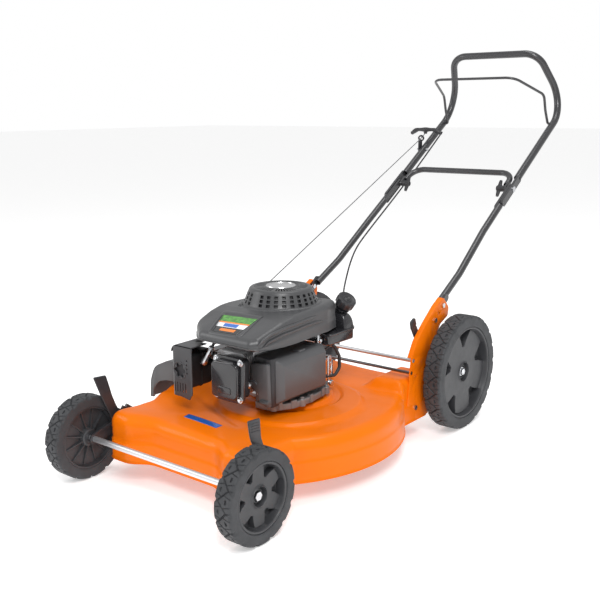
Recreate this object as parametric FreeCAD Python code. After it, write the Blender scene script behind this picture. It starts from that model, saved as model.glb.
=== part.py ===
import FreeCAD, Part
import os
import math

os.makedirs("parts", exist_ok=True)
V = FreeCAD.Vector

# ---------------------------------------------------------------- driving dimensions (mm)
# X = operator's left, Y = rearwards, Z up.  Modelled from the ground point under the
# front axle, then moved so that the origin is the bottom centre of the bounding box.
FRONT_R, FRONT_W, FRONT_X = 100.0, 45.0, 269.5      # front wheel radius, width, centre
REAR_R, REAR_W, REAR_X = 154.5, 50.0, 266.7         # rear wheel radius, width, centre
REAR_Y = 837.0                                      # wheelbase
AXLE_R = 7.0                                        # front axle rod
STUB_R = 6.0                                        # turned axle ends
BORE_CLR = 0.15                                     # running clearance, radial
DECK_Z0, DECK_Z1 = 50.0, 156.0                      # skirt rim, deck top
DECK_T = 2.5                                        # pressed steel
CX, CY = 8.0, 405.0                                 # crankshaft axis
TUBE_R, TUBE_WALL = 11.0, 1.5                       # handle tube
LOW_R = 10.0                                        # lower handle tube
PIV_Y, PIV_Z = 1245.0, 611.0                        # handle fold pivot
BAIL_Y, BAIL_Z = 1533.0, 797.0                      # stop-bail pivot
BRK_X0, BRK_X1 = 222.0, 225.0                       # side bracket plate
FADJ_Y, FADJ_Z = 75.0, 118.0                        # front height adjuster pivot
RADJ_Y, RADJ_Z = 745.0, 215.0                       # rear height adjuster pivot
BLADE_L, BLADE_Z = 500.0, 72.0                      # cut width, blade height
MOUNT_R = 2.6                                       # accessory hole in the bracket
MOUNT_Y, MOUNT_Z = 648.0, 91.0

nodes = {}


def put(name, shape):
    if len(shape.Solids) == 1:
        try:
            clean = shape.removeSplitter()
            if clean.isValid():
                shape = clean
        except Exception:
            pass
    nodes[name] = shape


def box(x0, x1, y0, y1, z0, z1):
    return Part.makeBox(x1 - x0, y1 - y0, z1 - z0, V(x0, y0, z0))


def cyl(r, p, d, h):
    return Part.makeCylinder(r, h, V(*p), V(*d))


def xcyl(r, x0, x1, y, z):
    return Part.makeCylinder(r, x1 - x0, V(x0, y, z), V(1, 0, 0))


def fuse(items):
    s = items[0]
    if len(items) > 1:
        s = s.multiFuse(items[1:])
    return s


def mirror(s):
    return s.mirror(V(0, 0, 0), V(1, 0, 0))


def group(items):
    return Part.makeCompound(items)


def poly_face_yz(pts, x):
    w = Part.makePolygon([V(x, a, b) for a, b in pts] + [V(x, pts[0][0], pts[0][1])])
    return Part.Face(w)


def poly_xy(pts, z):
    w = Part.makePolygon([V(a, b, z) for a, b in pts] + [V(pts[0][0], pts[0][1], z)])
    return Part.Face(w)


def prism_yz(pts, x0, x1):
    return poly_face_yz(pts, x0).extrude(V(x1 - x0, 0, 0))


def prism_xy(pts, z0, z1):
    return poly_xy(pts, z0).extrude(V(0, 0, z1 - z0))


def revolve_x(pts, y, z):
    # pts: (x, r) closed profile, turned about the axis parallel to X through (y, z)
    w = Part.makePolygon([V(a, y, z + b) for a, b in pts] + [V(pts[0][0], y, z + pts[0][1])])
    return Part.Face(w).revolve(V(0, y, z), V(1, 0, 0), 360)


def revolve_z(pts, x, y):
    w = Part.makePolygon([V(x + a, y, b) for a, b in pts] + [V(x + pts[0][0], y, pts[0][1])])
    return Part.Face(w).revolve(V(x, y, 0), V(0, 0, 1), 360)


def path(pts, radii):
    pts = [V(*p) for p in pts]
    edges = []
    cur = pts[0]
    for i in range(1, len(pts) - 1):
        a, b, c = pts[i - 1], pts[i], pts[i + 1]
        d1 = (b - a).normalize()
        d2 = (c - b).normalize()
        ang = d1.getAngle(d2)
        R = radii[i - 1]
        t = R * math.tan(ang / 2)
        p1 = b - d1 * t
        p2 = b + d2 * t
        n = (d2 - d1 * d1.dot(d2)).normalize()
        cc = p1 + n * R
        m = (b - cc).normalize()
        mid = cc + m * R
        if (p1 - cur).Length > 1e-6:
            edges.append(Part.LineSegment(cur, p1).toShape())
        edges.append(Part.Arc(p1, mid, p2).toShape())
        cur = p2
    edges.append(Part.LineSegment(cur, pts[-1]).toShape())
    return Part.Wire(edges)


def tube(pts, radii, r, wall=None):
    w = path(pts, radii)
    d = V(*pts[1]) - V(*pts[0])

    def sweep(rr):
        c = Part.Wire([Part.makeCircle(rr, V(*pts[0]), d)])
        return w.makePipeShell([c], True, False)
    s = sweep(r)
    v = math.pi * r * r * w.Length
    print("tube r %.1f length %.1f volume ratio %.4f" % (r, w.Length, s.Volume / v))
    if wall:
        s = s.cut(sweep(r - wall))
    return s


def hexa(x0, x1, y, z, af):
    pts = [(y + af / math.sqrt(3) * math.cos(math.radians(60 * k)),
            z + af / math.sqrt(3) * math.sin(math.radians(60 * k))) for k in range(6)]
    return prism_yz(pts, x0, x1)


def obround_yz(p, q, w, x0, x1):
    # flat bar with round ends between (y, z) points p and q, width w
    (y0, z0), (y1, z1) = p, q
    L = math.hypot(y1 - y0, z1 - z0)
    uy, uz = (y1 - y0) / L, (z1 - z0) / L
    ny, nz = -uz * w / 2, uy * w / 2
    bar = prism_yz([(y0 + ny, z0 + nz), (y1 + ny, z1 + nz), (y1 - ny, z1 - nz), (y0 - ny, z0 - nz)], x0, x1)
    return fuse([bar, xcyl(w / 2, x0, x1, y0, z0), xcyl(w / 2, x0, x1, y1, z1)])


def try_fillet(s, edges, radii):
    for r in radii:
        try:
            f = s.makeFillet(r, edges)
            if f.isValid() and f.Volume > 0:
                return f
        except Exception:
            pass
    print("fillet skipped")
    return s


# ---------------------------------------------------------------- wheels
def wheel(side, X, Y, Z, R, W, rim_r, pockets, name):
    s = 1 if side == "left" else -1
    x0, x1 = X - W / 2, X + W / 2
    e = 6.0
    tyre = revolve_x([(x0, rim_r + 2), (x0, R - e), (x0 + e, R), (x1 - e, R), (x1, R - e), (x1, rim_r + 2),
                      (x1 - 3, rim_r), (x0 + 3, rim_r)], Y, Z)
    b = STUB_R + BORE_CLR
    hub = 20.0
    xi = x0 + 3
    xw = x1 - 14                       # outer face of the web
    rim = revolve_x([(xi, b), (xi, hub), (xw - 6, hub), (xw - 6, rim_r - 6), (xi, rim_r - 4), (xi, rim_r),
                     (x1 - 3, rim_r), (x1 - 3, rim_r - 5), (xw, rim_r - 9), (xw, hub), (xw + 3, hub),
                     (xw + 3, 14), (xw - 6, 14), (xw - 6, b)], Y, Z)
    cuts = []
    for k in range(pockets):
        a = math.radians(360.0 * k / pockets + 90)
        rr = rim_r - 18
        cuts.append(xcyl(8.5 if pockets == 6 else 11, xw - 8, xw + 1, Y + rr * math.cos(a), Z + rr * math.sin(a)))
    rim = rim.cut(group(cuts))
    if s < 0:
        tyre, rim = mirror(tyre), mirror(rim)
    put(name + "_tyre", tyre)
    put(name + "_rim", rim)


for sd in ("left", "right"):
    wheel(sd, FRONT_X, 0.0, FRONT_R, FRONT_R, FRONT_W, 74.0, 6, "front_%s" % sd)
    wheel(sd, REAR_X, REAR_Y, REAR_R, REAR_R, REAR_W, 124.0, 5, "rear_%s" % sd)

# ---------------------------------------------------------------- front height adjuster
fx1 = FRONT_X + FRONT_W / 2
axle = fuse([xcyl(AXLE_R, -(fx1 - FRONT_W - 1.5), fx1 - FRONT_W - 1.5, 0, FRONT_R),
             xcyl(STUB_R, -(fx1 - 14), fx1 - 14, 0, FRONT_R)])
put("front_axle", axle)
nut = hexa(fx1 - 19.5, fx1 - 13.5, 0, FRONT_R, 17).cut(xcyl(STUB_R, fx1 - 40, fx1 - 13.9, 0, FRONT_R))
put("front_axle_nuts", group([nut, mirror(nut)]))

ax0, ax1 = 233.5, 238.5


def front_arm():
    arm = obround_yz((0, FRONT_R), (FADJ_Y, FADJ_Z), 26, ax0, ax1)
    up = prism_yz([(60, 112), (89, 124), (57, 203), (26, 200)], ax0, ax1)
    # flat finger tab leaning outwards and forwards above the tyre
    p, u, v = V(ax0 + 0.4, 41, 200), V(0, 1, -0.09), V(13, -11, 44)
    c = [p - u * 15.5, p + u * 15.5, p + v + u * 18, p + v - u * 18]
    tab = Part.Face(Part.makePolygon(c + [c[0]])).extrude(u.cross(v).normalize() * 4)
    s = fuse([arm, up, tab])
    s = s.cut(xcyl(AXLE_R, 200, 260, 0, FRONT_R))
    return s.cut(xcyl(6.2, 200, 260, FADJ_Y, FADJ_Z))


fa = front_arm()
put("front_height_levers", group([fa, mirror(fa)]))

# notched rack fixed on each front pod, behind the lever
rack = prism_yz([(66, 140), (104, 128), (112, 150), (96, 162), (90, 155), (84, 161), (78, 153), (70, 158)],
                225.2, 231.5)
put("front_height_racks", group([rack, mirror(rack)]))
pin = fuse([xcyl(6.0, 221.8, 239.5, FADJ_Y, FADJ_Z), xcyl(9.0, 239.5, 242.5, FADJ_Y, FADJ_Z)])
put("front_pivot_pins", group([pin, mirror(pin)]))

# ---------------------------------------------------------------- deck shell
arc_c, arc_r = (-57.0, 397.0), 359.0


def deck_outline(off, z):
    # plan outline moved inwards by off: straight runs and the round left side
    r = arc_r - off
    o = off
    a0 = -math.acos((225 - arc_c[0]) / arc_r)
    a1 = math.acos((222 - arc_c[0]) / arc_r)

    def on(a):
        return V(arc_c[0] + r * math.cos(a), arc_c[1] + r * math.sin(a), z)
    front = [(-225 + o, 30 + o), (-138, 30 + o), (-112, 60 + o), (112, 60 + o), (138, 30 + o), (225 - o, 30 + o)]
    back = [(222 - o, 745 - o), (-222 + o, 745 - o), (-222 + o, 618), (-262 + o, 570), (-262 + o, 225),
            (-225 + o, 165), (-225 + o, 30 + o)]
    run = [V(a, b, z) for a, b in front] + [on(a0)]
    edges = [Part.LineSegment(p, q).toShape() for p, q in zip(run[:-1], run[1:])]
    edges.append(Part.Arc(on(a0), on((a0 + a1) / 2), on(a1)).toShape())
    run = [on(a1)] + [V(a, b, z) for a, b in back]
    edges += [Part.LineSegment(p, q).toShape() for p, q in zip(run[:-1], run[1:])]
    return Part.Face(Part.Wire(edges))


def deck_solid(off, z0, z1, rad):
    s = deck_outline(off, z0).extrude(V(0, 0, z1 - z0))
    top = [e for e in s.Edges if all(abs(v.Point.z - z1) < 1e-6 for v in e.Vertexes)]
    return try_fillet(s, top, rad)


outer = deck_solid(0, DECK_Z0, DECK_Z1, (22, 18, 14, 10))
inner = deck_solid(DECK_T, DECK_Z0 - 5, DECK_Z1 - DECK_T, (20, 16, 12, 8))
# raised plateau that carries the engine, and its hollow
hump_o = Part.makeCone(178, 160, 10, V(CX, CY, DECK_Z1 - 1))
hump_i = Part.makeCone(175, 157, 10, V(CX, CY, DECK_Z1 - 1 - DECK_T))
# corner platforms beside the side brackets
cor_o = box(130, 222, 612, 742, 140, 172)
cor_i = box(133, 219.5, 615, 739.5, 100, 169.5)
deck = outer.multiFuse([hump_o, cor_o, mirror(cor_o)])
deck = deck.cut(inner).cut(hump_i).cut(cor_i).cut(mirror(cor_i))
# side discharge opening, crankshaft hole
deck = deck.cut(box(-270, -255, 262, 492, 62, 138))
deck = deck.cut(cyl(46, (CX, CY, 120), (0, 0, 1), 80))
for s in (1, -1):
    deck = deck.cut(xcyl(4.2, 200 if s > 0 else -240, 240 if s > 0 else -200, 678, 86))
    deck = deck.cut(xcyl(6.0, 200 if s > 0 else -240, 240 if s > 0 else -200, FADJ_Y, FADJ_Z))
    deck = deck.cut(xcyl(MOUNT_R + 2, 200 if s > 0 else -240, 240 if s > 0 else -200, MOUNT_Y, MOUNT_Z))
put("deck_shell", deck)

# ---------------------------------------------------------------- side brackets
plate = [(629, 51), (640, 110), (649, 180), (657, 224), (682, 265), (730, 306), (775, 340), (806, 357),
         (816, 354), (842, 326), (838, 303), (800, 288), (786, 270), (782, 200), (770, 120), (745, 53)]


def bracket():
    s = prism_yz(plate, BRK_X0, BRK_X1)
    f = plate[0:8]
    inn = []
    for i, p in enumerate(f):
        a = f[max(i - 1, 0)]
        b = f[min(i + 1, len(f) - 1)]
        ty, tz = b[0] - a[0], b[1] - a[1]
        L = math.hypot(ty, tz)
        inn.append((p[0] + tz / L * 3, p[1] - ty / L * 3))
    k = 3                                           # flange starts above the deck
    fl = prism_yz(f[k:] + inn[k:][::-1], 211.0, BRK_X1)
    s = s.fuse(fl)
    holes = [xcyl(4.2, 205, 240, 811, 336), xcyl(4.2, 205, 240, 771, 303), xcyl(4.2, 205, 240, 678, 86),
             xcyl(MOUNT_R, 205, 240, MOUNT_Y, MOUNT_Z), xcyl(3.5, 205, 240, 682, 172),
             xcyl(8.2, 205, 240, RADJ_Y, RADJ_Z), xcyl(5.0, 205, 240, 664, 216),
             xcyl(4.0, 205, 240, 656, 185)]
    return s.cut(group(holes))


br = bracket()
put("left_side_bracket", br)
put("right_side_bracket", mirror(br))

put("upper_cross_rod", xcyl(5.0, -226.5, 226.5, 664, 216))
put("lower_cross_rod", xcyl(4.0, -226.5, 226.5, 656, 185))


# ---------------------------------------------------------------- lower handle
def lower_handle():
    xf0, xf1 = 213.5, 221.8
    foot = obround_yz((766, 299), (836, 352), 20, xf0, xf1)
    body = tube([(209, 826, 345), (206, 930, 401), (200, 1075, 502), (199, 1176, 566.5)], [160, 400], LOW_R, TUBE_WALL)
    top = obround_yz((1170, 562.8), (1252, 615.4), 19, 189.5, 197.6)
    s = fuse([foot, body, top])
    s = s.cut(group([xcyl(4.1, 205, 240, 811, 336), xcyl(4.1, 205, 240, 771, 303)]))
    return s.cut(xcyl(4.2, 180, 215, PIV_Y, PIV_Z))


lh = lower_handle()
put("lower_handle_left", lh)
put("lower_handle_right", mirror(lh))


def bolt(x0, x1, y, z, r, af):
    # shank from x0 to x1, hex head outside, nut inside
    return fuse([xcyl(r, x0, x1, y, z), hexa(x1, x1 + 4.5, y, z, af), hexa(x0, x0 + 5, y, z, af)])


bb = []
for (y, z, xi) in ((811, 336, 208.3), (771, 303, 208.3), (678, 86, 214.3)):
    b = fuse([xcyl(4.0, xi, BRK_X1, y, z), hexa(BRK_X1, BRK_X1 + 3.6, y, z, 12),
              hexa(xi, 213.4 if xi < 210 else 219.3, y, z, 12)])
    bb += [b, mirror(b)]
put("bracket_bolts", group(bb))


# ---------------------------------------------------------------- rear height adjusters
def rear_adj():
    arm = obround_yz((RADJ_Y, RADJ_Z), (REAR_Y, REAR_R), 30, 229.5, 235.0)
    shaft = xcyl(8.0, 203.0, 235.0, RADJ_Y, RADJ_Z)
    stub = fuse([xcyl(STUB_R, 234.0, REAR_X + REAR_W / 2 - 13.5, REAR_Y, REAR_R), xcyl(10, 234, 241.0, REAR_Y, REAR_R)])
    lev = prism_yz([(737, 206), (756, 222), (706, 300), (686, 290)], 203.0, 207.0)
    knob = prism_yz([(686, 288), (708, 301), (700, 322), (680, 312)], 201.5, 207.5)
    lever = fuse([lev, knob, xcyl(14, 203.0, 207.0, RADJ_Y, RADJ_Z)])
    return fuse([arm, shaft, stub]), lever


ra, rl = rear_adj()
ra = ra.fuse(rl)
rx1 = REAR_X + REAR_W / 2
rn = hexa(rx1 - 19.5, rx1 - 13.0, REAR_Y, REAR_R, 17).cut(xcyl(STUB_R, rx1 - 50, rx1 - 13.5, REAR_Y, REAR_R))
put("rear_left_height_adjuster", group([ra, rn]))
put("rear_right_height_adjuster", group([mirror(ra), mirror(rn)]))

# ---------------------------------------------------------------- upper handle
UX = 199.0
ud = V(0, 375.0, 242.0).normalize()
GRIP_Y, GRIP_Z, GRIP_X = 1503.0, 1016.0, 150.0
BEND = (UX, 1620.0, 853.0)


def along(s):
    return (PIV_Y + ud.y * s, PIV_Z + ud.z * s)


tp = (1402.0, PIV_Z + (1402.0 - PIV_Y) * ud.z / ud.y)        # rope guide bolt


def upper_handle():
    st = along(52)
    pts = [(UX, st[0], st[1]), BEND, (GRIP_X, GRIP_Y, GRIP_Z), (-GRIP_X, GRIP_Y, GRIP_Z),
           (-BEND[0], BEND[1], BEND[2]), (-UX, st[0], st[1])]
    t = tube(pts, [95, 58, 58, 95], TUBE_R, TUBE_WALL)
    parts = [t]
    for s in (1, -1):
        fl = obround_yz(along(-66), along(50), 22, 199.4, 207.6)
        parts.append(fl if s > 0 else mirror(fl))
    s = fuse(parts)
    for q in (1, -1):
        s = s.cut(xcyl(4.2, 190 if q > 0 else -215, 215 if q > 0 else -190, PIV_Y, PIV_Z))
        s = s.cut(xcyl(4.4, 180 if q > 0 else -199, 199 if q > 0 else -180, BAIL_Y, BAIL_Z))
    return s.cut(xcyl(3.15, -215, -180, tp[0], tp[1]))


put("upper_handle", upper_handle())

# crossbar between the joints, bolted on the inner sides
cb_pt = along(77)


def crossbar():
    a = along(17)
    t = tube([(178.0, a[0], a[1]), (178.0, cb_pt[0], cb_pt[1]), (-178.0, cb_pt[0], cb_pt[1]), (-178.0, a[0], a[1])],
             [42, 42], 9.0, 1.5)
    tab = obround_yz(along(0), along(22), 18, 180.0, 187.0)
    s = fuse([t, tab, mirror(tab)])
    for q in (1, -1):
        s = s.cut(xcyl(4.2, 150 if q > 0 else -195, 195 if q > 0 else -150, PIV_Y, PIV_Z))
    return s


put("handle_crossbar", crossbar())


# carriage bolt and wing knob of each fold joint
def fold_bolt():
    return fuse([xcyl(4.0, 158.0, 208.0, PIV_Y, PIV_Z), xcyl(8.5, 208.0, 211.5, PIV_Y, PIV_Z)])


def fold_knob():
    hub = xcyl(9.5, 154.0, 179.5, PIV_Y, PIV_Z)
    a = math.radians(62)
    dy, dz = math.cos(a), math.sin(a)
    w = []
    for s in (1, -1):
        p = (PIV_Y + s * dy * 5, PIV_Z + s * dz * 5)
        q = (PIV_Y + s * dy * 19, PIV_Z + s * dz * 19)
        w.append(obround_yz(p, q, 10, 155.5, 167.5))
    return fuse([hub] + w).cut(xcyl(4.2, 157.8, 185, PIV_Y, PIV_Z))


fold_bolts = [fold_bolt(), mirror(fold_bolt())]
put("left_fold_knob", fold_knob())
put("right_fold_knob", mirror(fold_knob()))

# ---------------------------------------------------------------- stop bail
BR = 4.0
bail = tube([(196, BAIL_Y, BAIL_Z), (181.5, BAIL_Y, BAIL_Z), (180, 1513, 840), (179.5, 1499, 888), (140, 1361, 939),
             (-140, 1361, 939), (-179.5, 1499, 888), (-180, 1513, 840), (-181.5, BAIL_Y, BAIL_Z), (-196, BAIL_Y, BAIL_Z)],
            [7, 60, 28, 38, 38, 28, 60, 7], BR)
put("stop_bail", bail)

# ---------------------------------------------------------------- rope guide and starter grip
GY, GZ = 1411.0, 750.0
GXC = -214.0
gax = V(-0.2, 0.9, 0.35).normalize()
ring = Part.makeCylinder(10.5, 5, V(GXC, GY, GZ) - gax * 2.5, gax).cut(
    Part.makeCylinder(6.0, 9, V(GXC, GY, GZ) - gax * 4.5, gax))
guide = fuse([box(-214.5, -211.2, tp[0] - 9, tp[0] + 12, tp[1] - 9, GZ - 8.5), ring])
guide = guide.cut(xcyl(3.0, -240, -180, tp[0], tp[1]))
put("rope_guide", guide)
guide_bolt = fuse([xcyl(3.0, -221, -183, tp[0], tp[1]), hexa(-221, -214.7, tp[0], tp[1], 10),
                   hexa(-187.8, -182.0, tp[0], tp[1], 10)])
put("handle_bolts", group(fold_bolts + [guide_bolt]))
TG = V(-207.0, 1427.0, 776.0)
tg = tube([(TG.x - 60, TG.y + 6, TG.z - 12), (TG.x - 34, TG.y, TG.z + 2), (TG.x + 34, TG.y, TG.z + 2),
           (TG.x + 60, TG.y + 6, TG.z - 12)], [40, 40], 6.5)
tg = tg.fuse(Part.makeCone(5.0, 8.5, 12, V(TG.x, TG.y, TG.z - 11), V(0, 0, 1)))
put("starter_grip", tg)

# ---------------------------------------------------------------- engine: crankcase, cylinder, head
Z_BASE = 168.0
crank_o = fuse([cyl(96, (CX, CY, Z_BASE - 3), (0, 0, 1), 10),
                cyl(51.5, (CX, CY, Z_BASE + 5), (0, 0, 1), 138),
                box(-28, 57, 236, 365, 214, 310)])
bore_x, bore_z = 20.0, 262.0
case = crank_o.cut(cyl(46, (CX, CY, 200), (0, 0, 1), 98))
case = case.cut(cyl(32.6, (bore_x, 242, bore_z), (0, 1, 0), 120))
case = case.cut(cyl(12.7, (CX, CY, 100), (0, 0, 1), 300))
put("crankcase", case)
fins = [box(-30, 78, 205, 236, 214, 308)]
head = fuse(fins)
head = head.cut(group([box(-40, 90, 207 + 7 * k, 210 + 7 * k, 200, 228) for k in range(4)]))
head = head.cut(group([box(-40, 90, 207 + 7 * k, 210 + 7 * k, 298, 320) for k in range(4)]))
head = head.cut(cyl(5.5, (-40, 222, 285), (1, 0, 0), 30))
put("cylinder_head", head)
vc = box(2, 86, 172, 205, 221, 305)
vc = try_fillet(vc, [e for e in vc.Edges if abs(e.BoundBox.YLength) > 30], (14, 10))
vc = vc.fuse(try_fillet(box(15, 72, 164, 173, 233, 291), [], (1,)))
put("valve_cover", vc)
vb = []
for (x, z) in ((11, 297), (77, 297), (11, 229), (77, 229)):
    vb.append(fuse([cyl(4.6, (x, 166.0, z), (0, 1, 0), 6.0)]))
put("valve_cover_bolts", group(vb))
plug = fuse([cyl(5.4, (-40, 222, 285), (1, 0, 0), 28), cyl(9.5, (-48, 222, 285), (1, 0, 0), 8)])
put("spark_plug", plug)
put("spark_plug_boot", fuse([cyl(8.5, (-72, 215, 285), (1, 0, 0), 23.8), cyl(8.0, (-66, 215, 283), (0, 0, 1), 34)]))
put("piston", cyl(32.4, (bore_x, 292, bore_z), (0, 1, 0), 44))
throw = 23.0
crank = fuse([cyl(12.5, (CX, CY, 92), (0, 0, 1), 136), cyl(12.5, (CX, CY, 286), (0, 0, 1), 92),
              cyl(42, (CX, CY, 226), (0, 0, 1), 12), cyl(42, (CX, CY, 278), (0, 0, 1), 12),
              cyl(13, (CX, CY + throw, 236), (0, 0, 1), 44)])
put("crankshaft", crank)
fly = revolve_z([(12.5, 336), (74, 336), (74, 362), (66, 362), (66, 344), (26, 344), (26, 358), (12.5, 358)], CX, CY)
vanes = []
for k in range(12):
    b = box(CX + 28, CX + 65, CY - 1.2, CY + 1.2, 343.0, 368)
    b.rotate(V(CX, CY, 0), V(0, 0, 1), 30 * k)
    vanes.append(b)
put("flywheel", fuse([fly] + vanes))

# ---------------------------------------------------------------- blade group
put("blade_adapter", revolve_z([(12.5, 80), (30, 80), (30, 88), (20, 92), (20, 112), (12.5, 112)], CX, CY))
half = BLADE_L / 2
bl = box(CX - half, CX + half, CY - 27, CY + 27, BLADE_Z, BLADE_Z + 4)
bl = bl.cut(box(CX + half - 95, CX + half + 5, CY - 30, CY - 19, BLADE_Z - 2, BLADE_Z + 8))
bl = bl.cut(box(CX - half - 5, CX - half + 95, CY + 19, CY + 30, BLADE_Z - 2, BLADE_Z + 8))
wing = prism_yz([(CY + 24, BLADE_Z), (CY + 27, BLADE_Z + 4), (CY + 40, BLADE_Z + 18), (CY + 43, BLADE_Z + 16)],
                CX + half - 92, CX + half - 4)
wing2 = wing.copy()
wing2.rotate(V(CX, CY, 0), V(0, 0, 1), 180)
bl = fuse([bl, wing, wing2]).cut(cyl(6.1, (CX, CY, 50), (0, 0, 1), 50))
put("blade", bl)
put("blade_bolt", fuse([cyl(6.0, (CX, CY, 66), (0, 0, 1), 25.9), cyl(15, (CX, CY, 69), (0, 0, 1), 3),
                        prism_xy([(CX + 11 * math.cos(math.radians(60 * k)), CY + 11 * math.sin(math.radians(60 * k)))
                                  for k in range(6)], 60, 69)]))

# ---------------------------------------------------------------- blower shroud and recoil starter
plan = [(-36, 160), (120, 160), (132, 178), (130, 300), (112, 470), (96, 506), (-88, 506), (-104, 470), (-112, 300),
        (-92, 215)]
prof = [(158, 318), (158, 342), (205, 360), (310, 388), (508, 388), (508, 340), (400, 322), (300, 318)]


def inset(p, d, c):
    out = []
    for a, b in p:
        out.append((c[0] + (a - c[0]) * (1 - d / max(abs(a - c[0]), 60)),
                    c[1] + (b - c[1]) * (1 - d / max(abs(b - c[1]), 60))))
    return out


so = prism_xy(plan, 300, 420).common(prism_yz(prof, -150, 160))
pi_ = inset(plan, 3.0, (CX, 333))
prof_i = [(161, 300), (161, 339.5), (206, 357), (310.5, 385), (505, 385), (505, 300)]
si = prism_xy(pi_, 290, 420).common(prism_yz(prof_i, -150, 160))
shroud = so.cut(si).cut(cyl(78, (CX, CY, 370), (0, 0, 1), 30))
put("blower_shroud", shroud)

rc = revolve_z([(88, 388.2), (73, 426), (24, 427), (24, 424), (71, 423), (84.5, 388.2)], CX, CY)
slots = []
for k in range(28):
    b = box(CX + 60, CX + 100, CY - 3.5, CY + 3.5, 394, 401)
    b2 = box(CX + 60, CX + 100, CY - 3.2, CY + 3.2, 407, 414)
    for q in (b, b2):
        q.rotate(V(CX, CY, 0), V(0, 0, 1), 360.0 / 28 * k)
        slots.append(q)
rc = rc.cut(group(slots))
put("recoil_cover", rc)
put("recoil_cap", revolve_z([(0, 424.2), (23.5, 424.2), (23.5, 427.2), (38, 427.4), (37, 429.5), (0, 430.5)], CX, CY))
put("starter_pulley", revolve_z([(5, 396), (40, 396), (40, 399), (28, 400), (28, 408), (40, 409), (40, 412), (5, 412)],
                                CX, CY))
put("recoil_cover", nodes["recoil_cover"].fuse(cyl(4.8, (CX, CY, 394), (0, 0, 1), 28.2)).fuse(
    cyl(26, (CX, CY, 421), (0, 0, 1), 3.2)))

# ---------------------------------------------------------------- muffler, guard, air filter, carburettor, tank
put("muffler", fuse([box(-120, -78, 170, 240, 206, 296), cyl(9, (-80, 230, 262), (1, 0, 0), 49.5)]))
gd = box(-128, -58, 152, 250, 192, 316)
gd = try_fillet(gd, [e for e in gd.Edges if e.BoundBox.YLength > 90 and e.BoundBox.XMin < -120], (16, 10))
gdi = box(-125, -40, 155, 260, 180, 313)
gd = gd.cut(gdi).cut(box(-78, -50, 203, 227, 300, 320))
gd = gd.cut(cyl(12, (-86, 140, 262), (0, 1, 0), 30))
gd = gd.cut(group([box(-112 + 9 * k, -108 + 9 * k, 140, 170, 205, 225) for k in range(5)]))
put("muffler_guard", gd)
af = prism_xy([(60, 256), (118, 256), (135, 276), (135, 408), (128, 421), (60, 421)], 190, 281)
put("air_filter_cover", af.cut(box(64, 128, 262, 415, 196, 275)).cut(box(55, 66, 262, 415, 196, 275)))
put("air_filter_element", box(70, 126, 268, 409, 200, 270))
put("air_filter_base", box(92, 120, 206, 255.8, 200, 268).fuse(box(88, 96, 206, 255.8, 214, 262)))
put("carburettor", fuse([box(62, 87, 238, 255, 226, 262), cyl(8.5, (74, 246.5, 208), (0, 0, 1), 18.5)]))
tk = fuse([box(64, 128, 440, 557, 284, 322), box(10, 128, 464, 557, 284, 322), box(10, 128, 508.5, 557, 320, 352)])
tk = try_fillet(tk, [e for e in tk.Edges if e.BoundBox.ZLength > 25 and e.BoundBox.YMin > 550], (14, 8))
cap_c = V(99, 533, 371)
cap_d = V(0.60, -0.12, 0.79).normalize()        # filler neck leans outwards
neck = Part.makeCylinder(15, 32, cap_c - cap_d * 28, cap_d)
put("fuel_tank", fuse([tk, neck]).cut(Part.makeCylinder(12, 40, cap_c - cap_d * 24, cap_d))
    .cut(box(68, 124, 444, 553, 288, 318)).cut(box(14, 124, 468, 553, 288, 318)))
capb = Part.makeCylinder(25, 22, cap_c + cap_d * 1.5, cap_d).cut(Part.makeCylinder(15.3, 13, cap_c + cap_d * 1.2, cap_d))
ribs = []
for k in range(14):
    a = 2 * math.pi * k / 14
    c = Part.makeCylinder(2.2, 23, cap_c + cap_d * 1.0 + V(0, 0, 0), cap_d)
    ref = V(1, 0, 0) - cap_d * cap_d.x
    ref.normalize()
    ort = cap_d.cross(ref)
    c.translate(ref * (26 * math.cos(a)) + ort * (26 * math.sin(a)))
    ribs.append(c)
put("fuel_cap", capb.cut(group(ribs)))

# governor and control bracket at the rear left, with the brake cable anchor
cbk = fuse([box(98, 100.5, 424, 438, 196, 316), box(98, 118, 424, 427, 210, 240), box(58, 99, 424, 427, 296, 316)])
cbk = cbk.cut(group([xcyl(3.0, 90, 110, 432.5, 206 + 18 * k) for k in range(5)]))
put("control_bracket", cbk)

# ---------------------------------------------------------------- side discharge deflector
HX = -222.0
HZ = 186.0
hood = [(-214, 233), (-240, 231), (-264, 224), (-280, 215), (-292, 205), (-301, 193), (-307, 179), (-312, 150), (-316, 123)]
mouth = [(-304, 123), (-302, 142), (-293, 158), (-280, 168), (-262, 175), (-240, 180), (-214, 180)]


def offset_line(pts, d):
    out = []
    for i, p in enumerate(pts):
        a = pts[max(i - 1, 0)]
        b = pts[min(i + 1, len(pts) - 1)]
        ty, tz = b[0] - a[0], b[1] - a[1]
        L = math.hypot(ty, tz)
        out.append((p[0] - tz / L * d, p[1] + ty / L * d))
    return out


def prism_xz(pts, y0, y1):
    w = Part.makePolygon([V(a, y0, b) for a, b in pts] + [V(pts[0][0], y0, pts[0][1])])
    return Part.Face(w).extrude(V(0, y1 - y0, 0))


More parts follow.
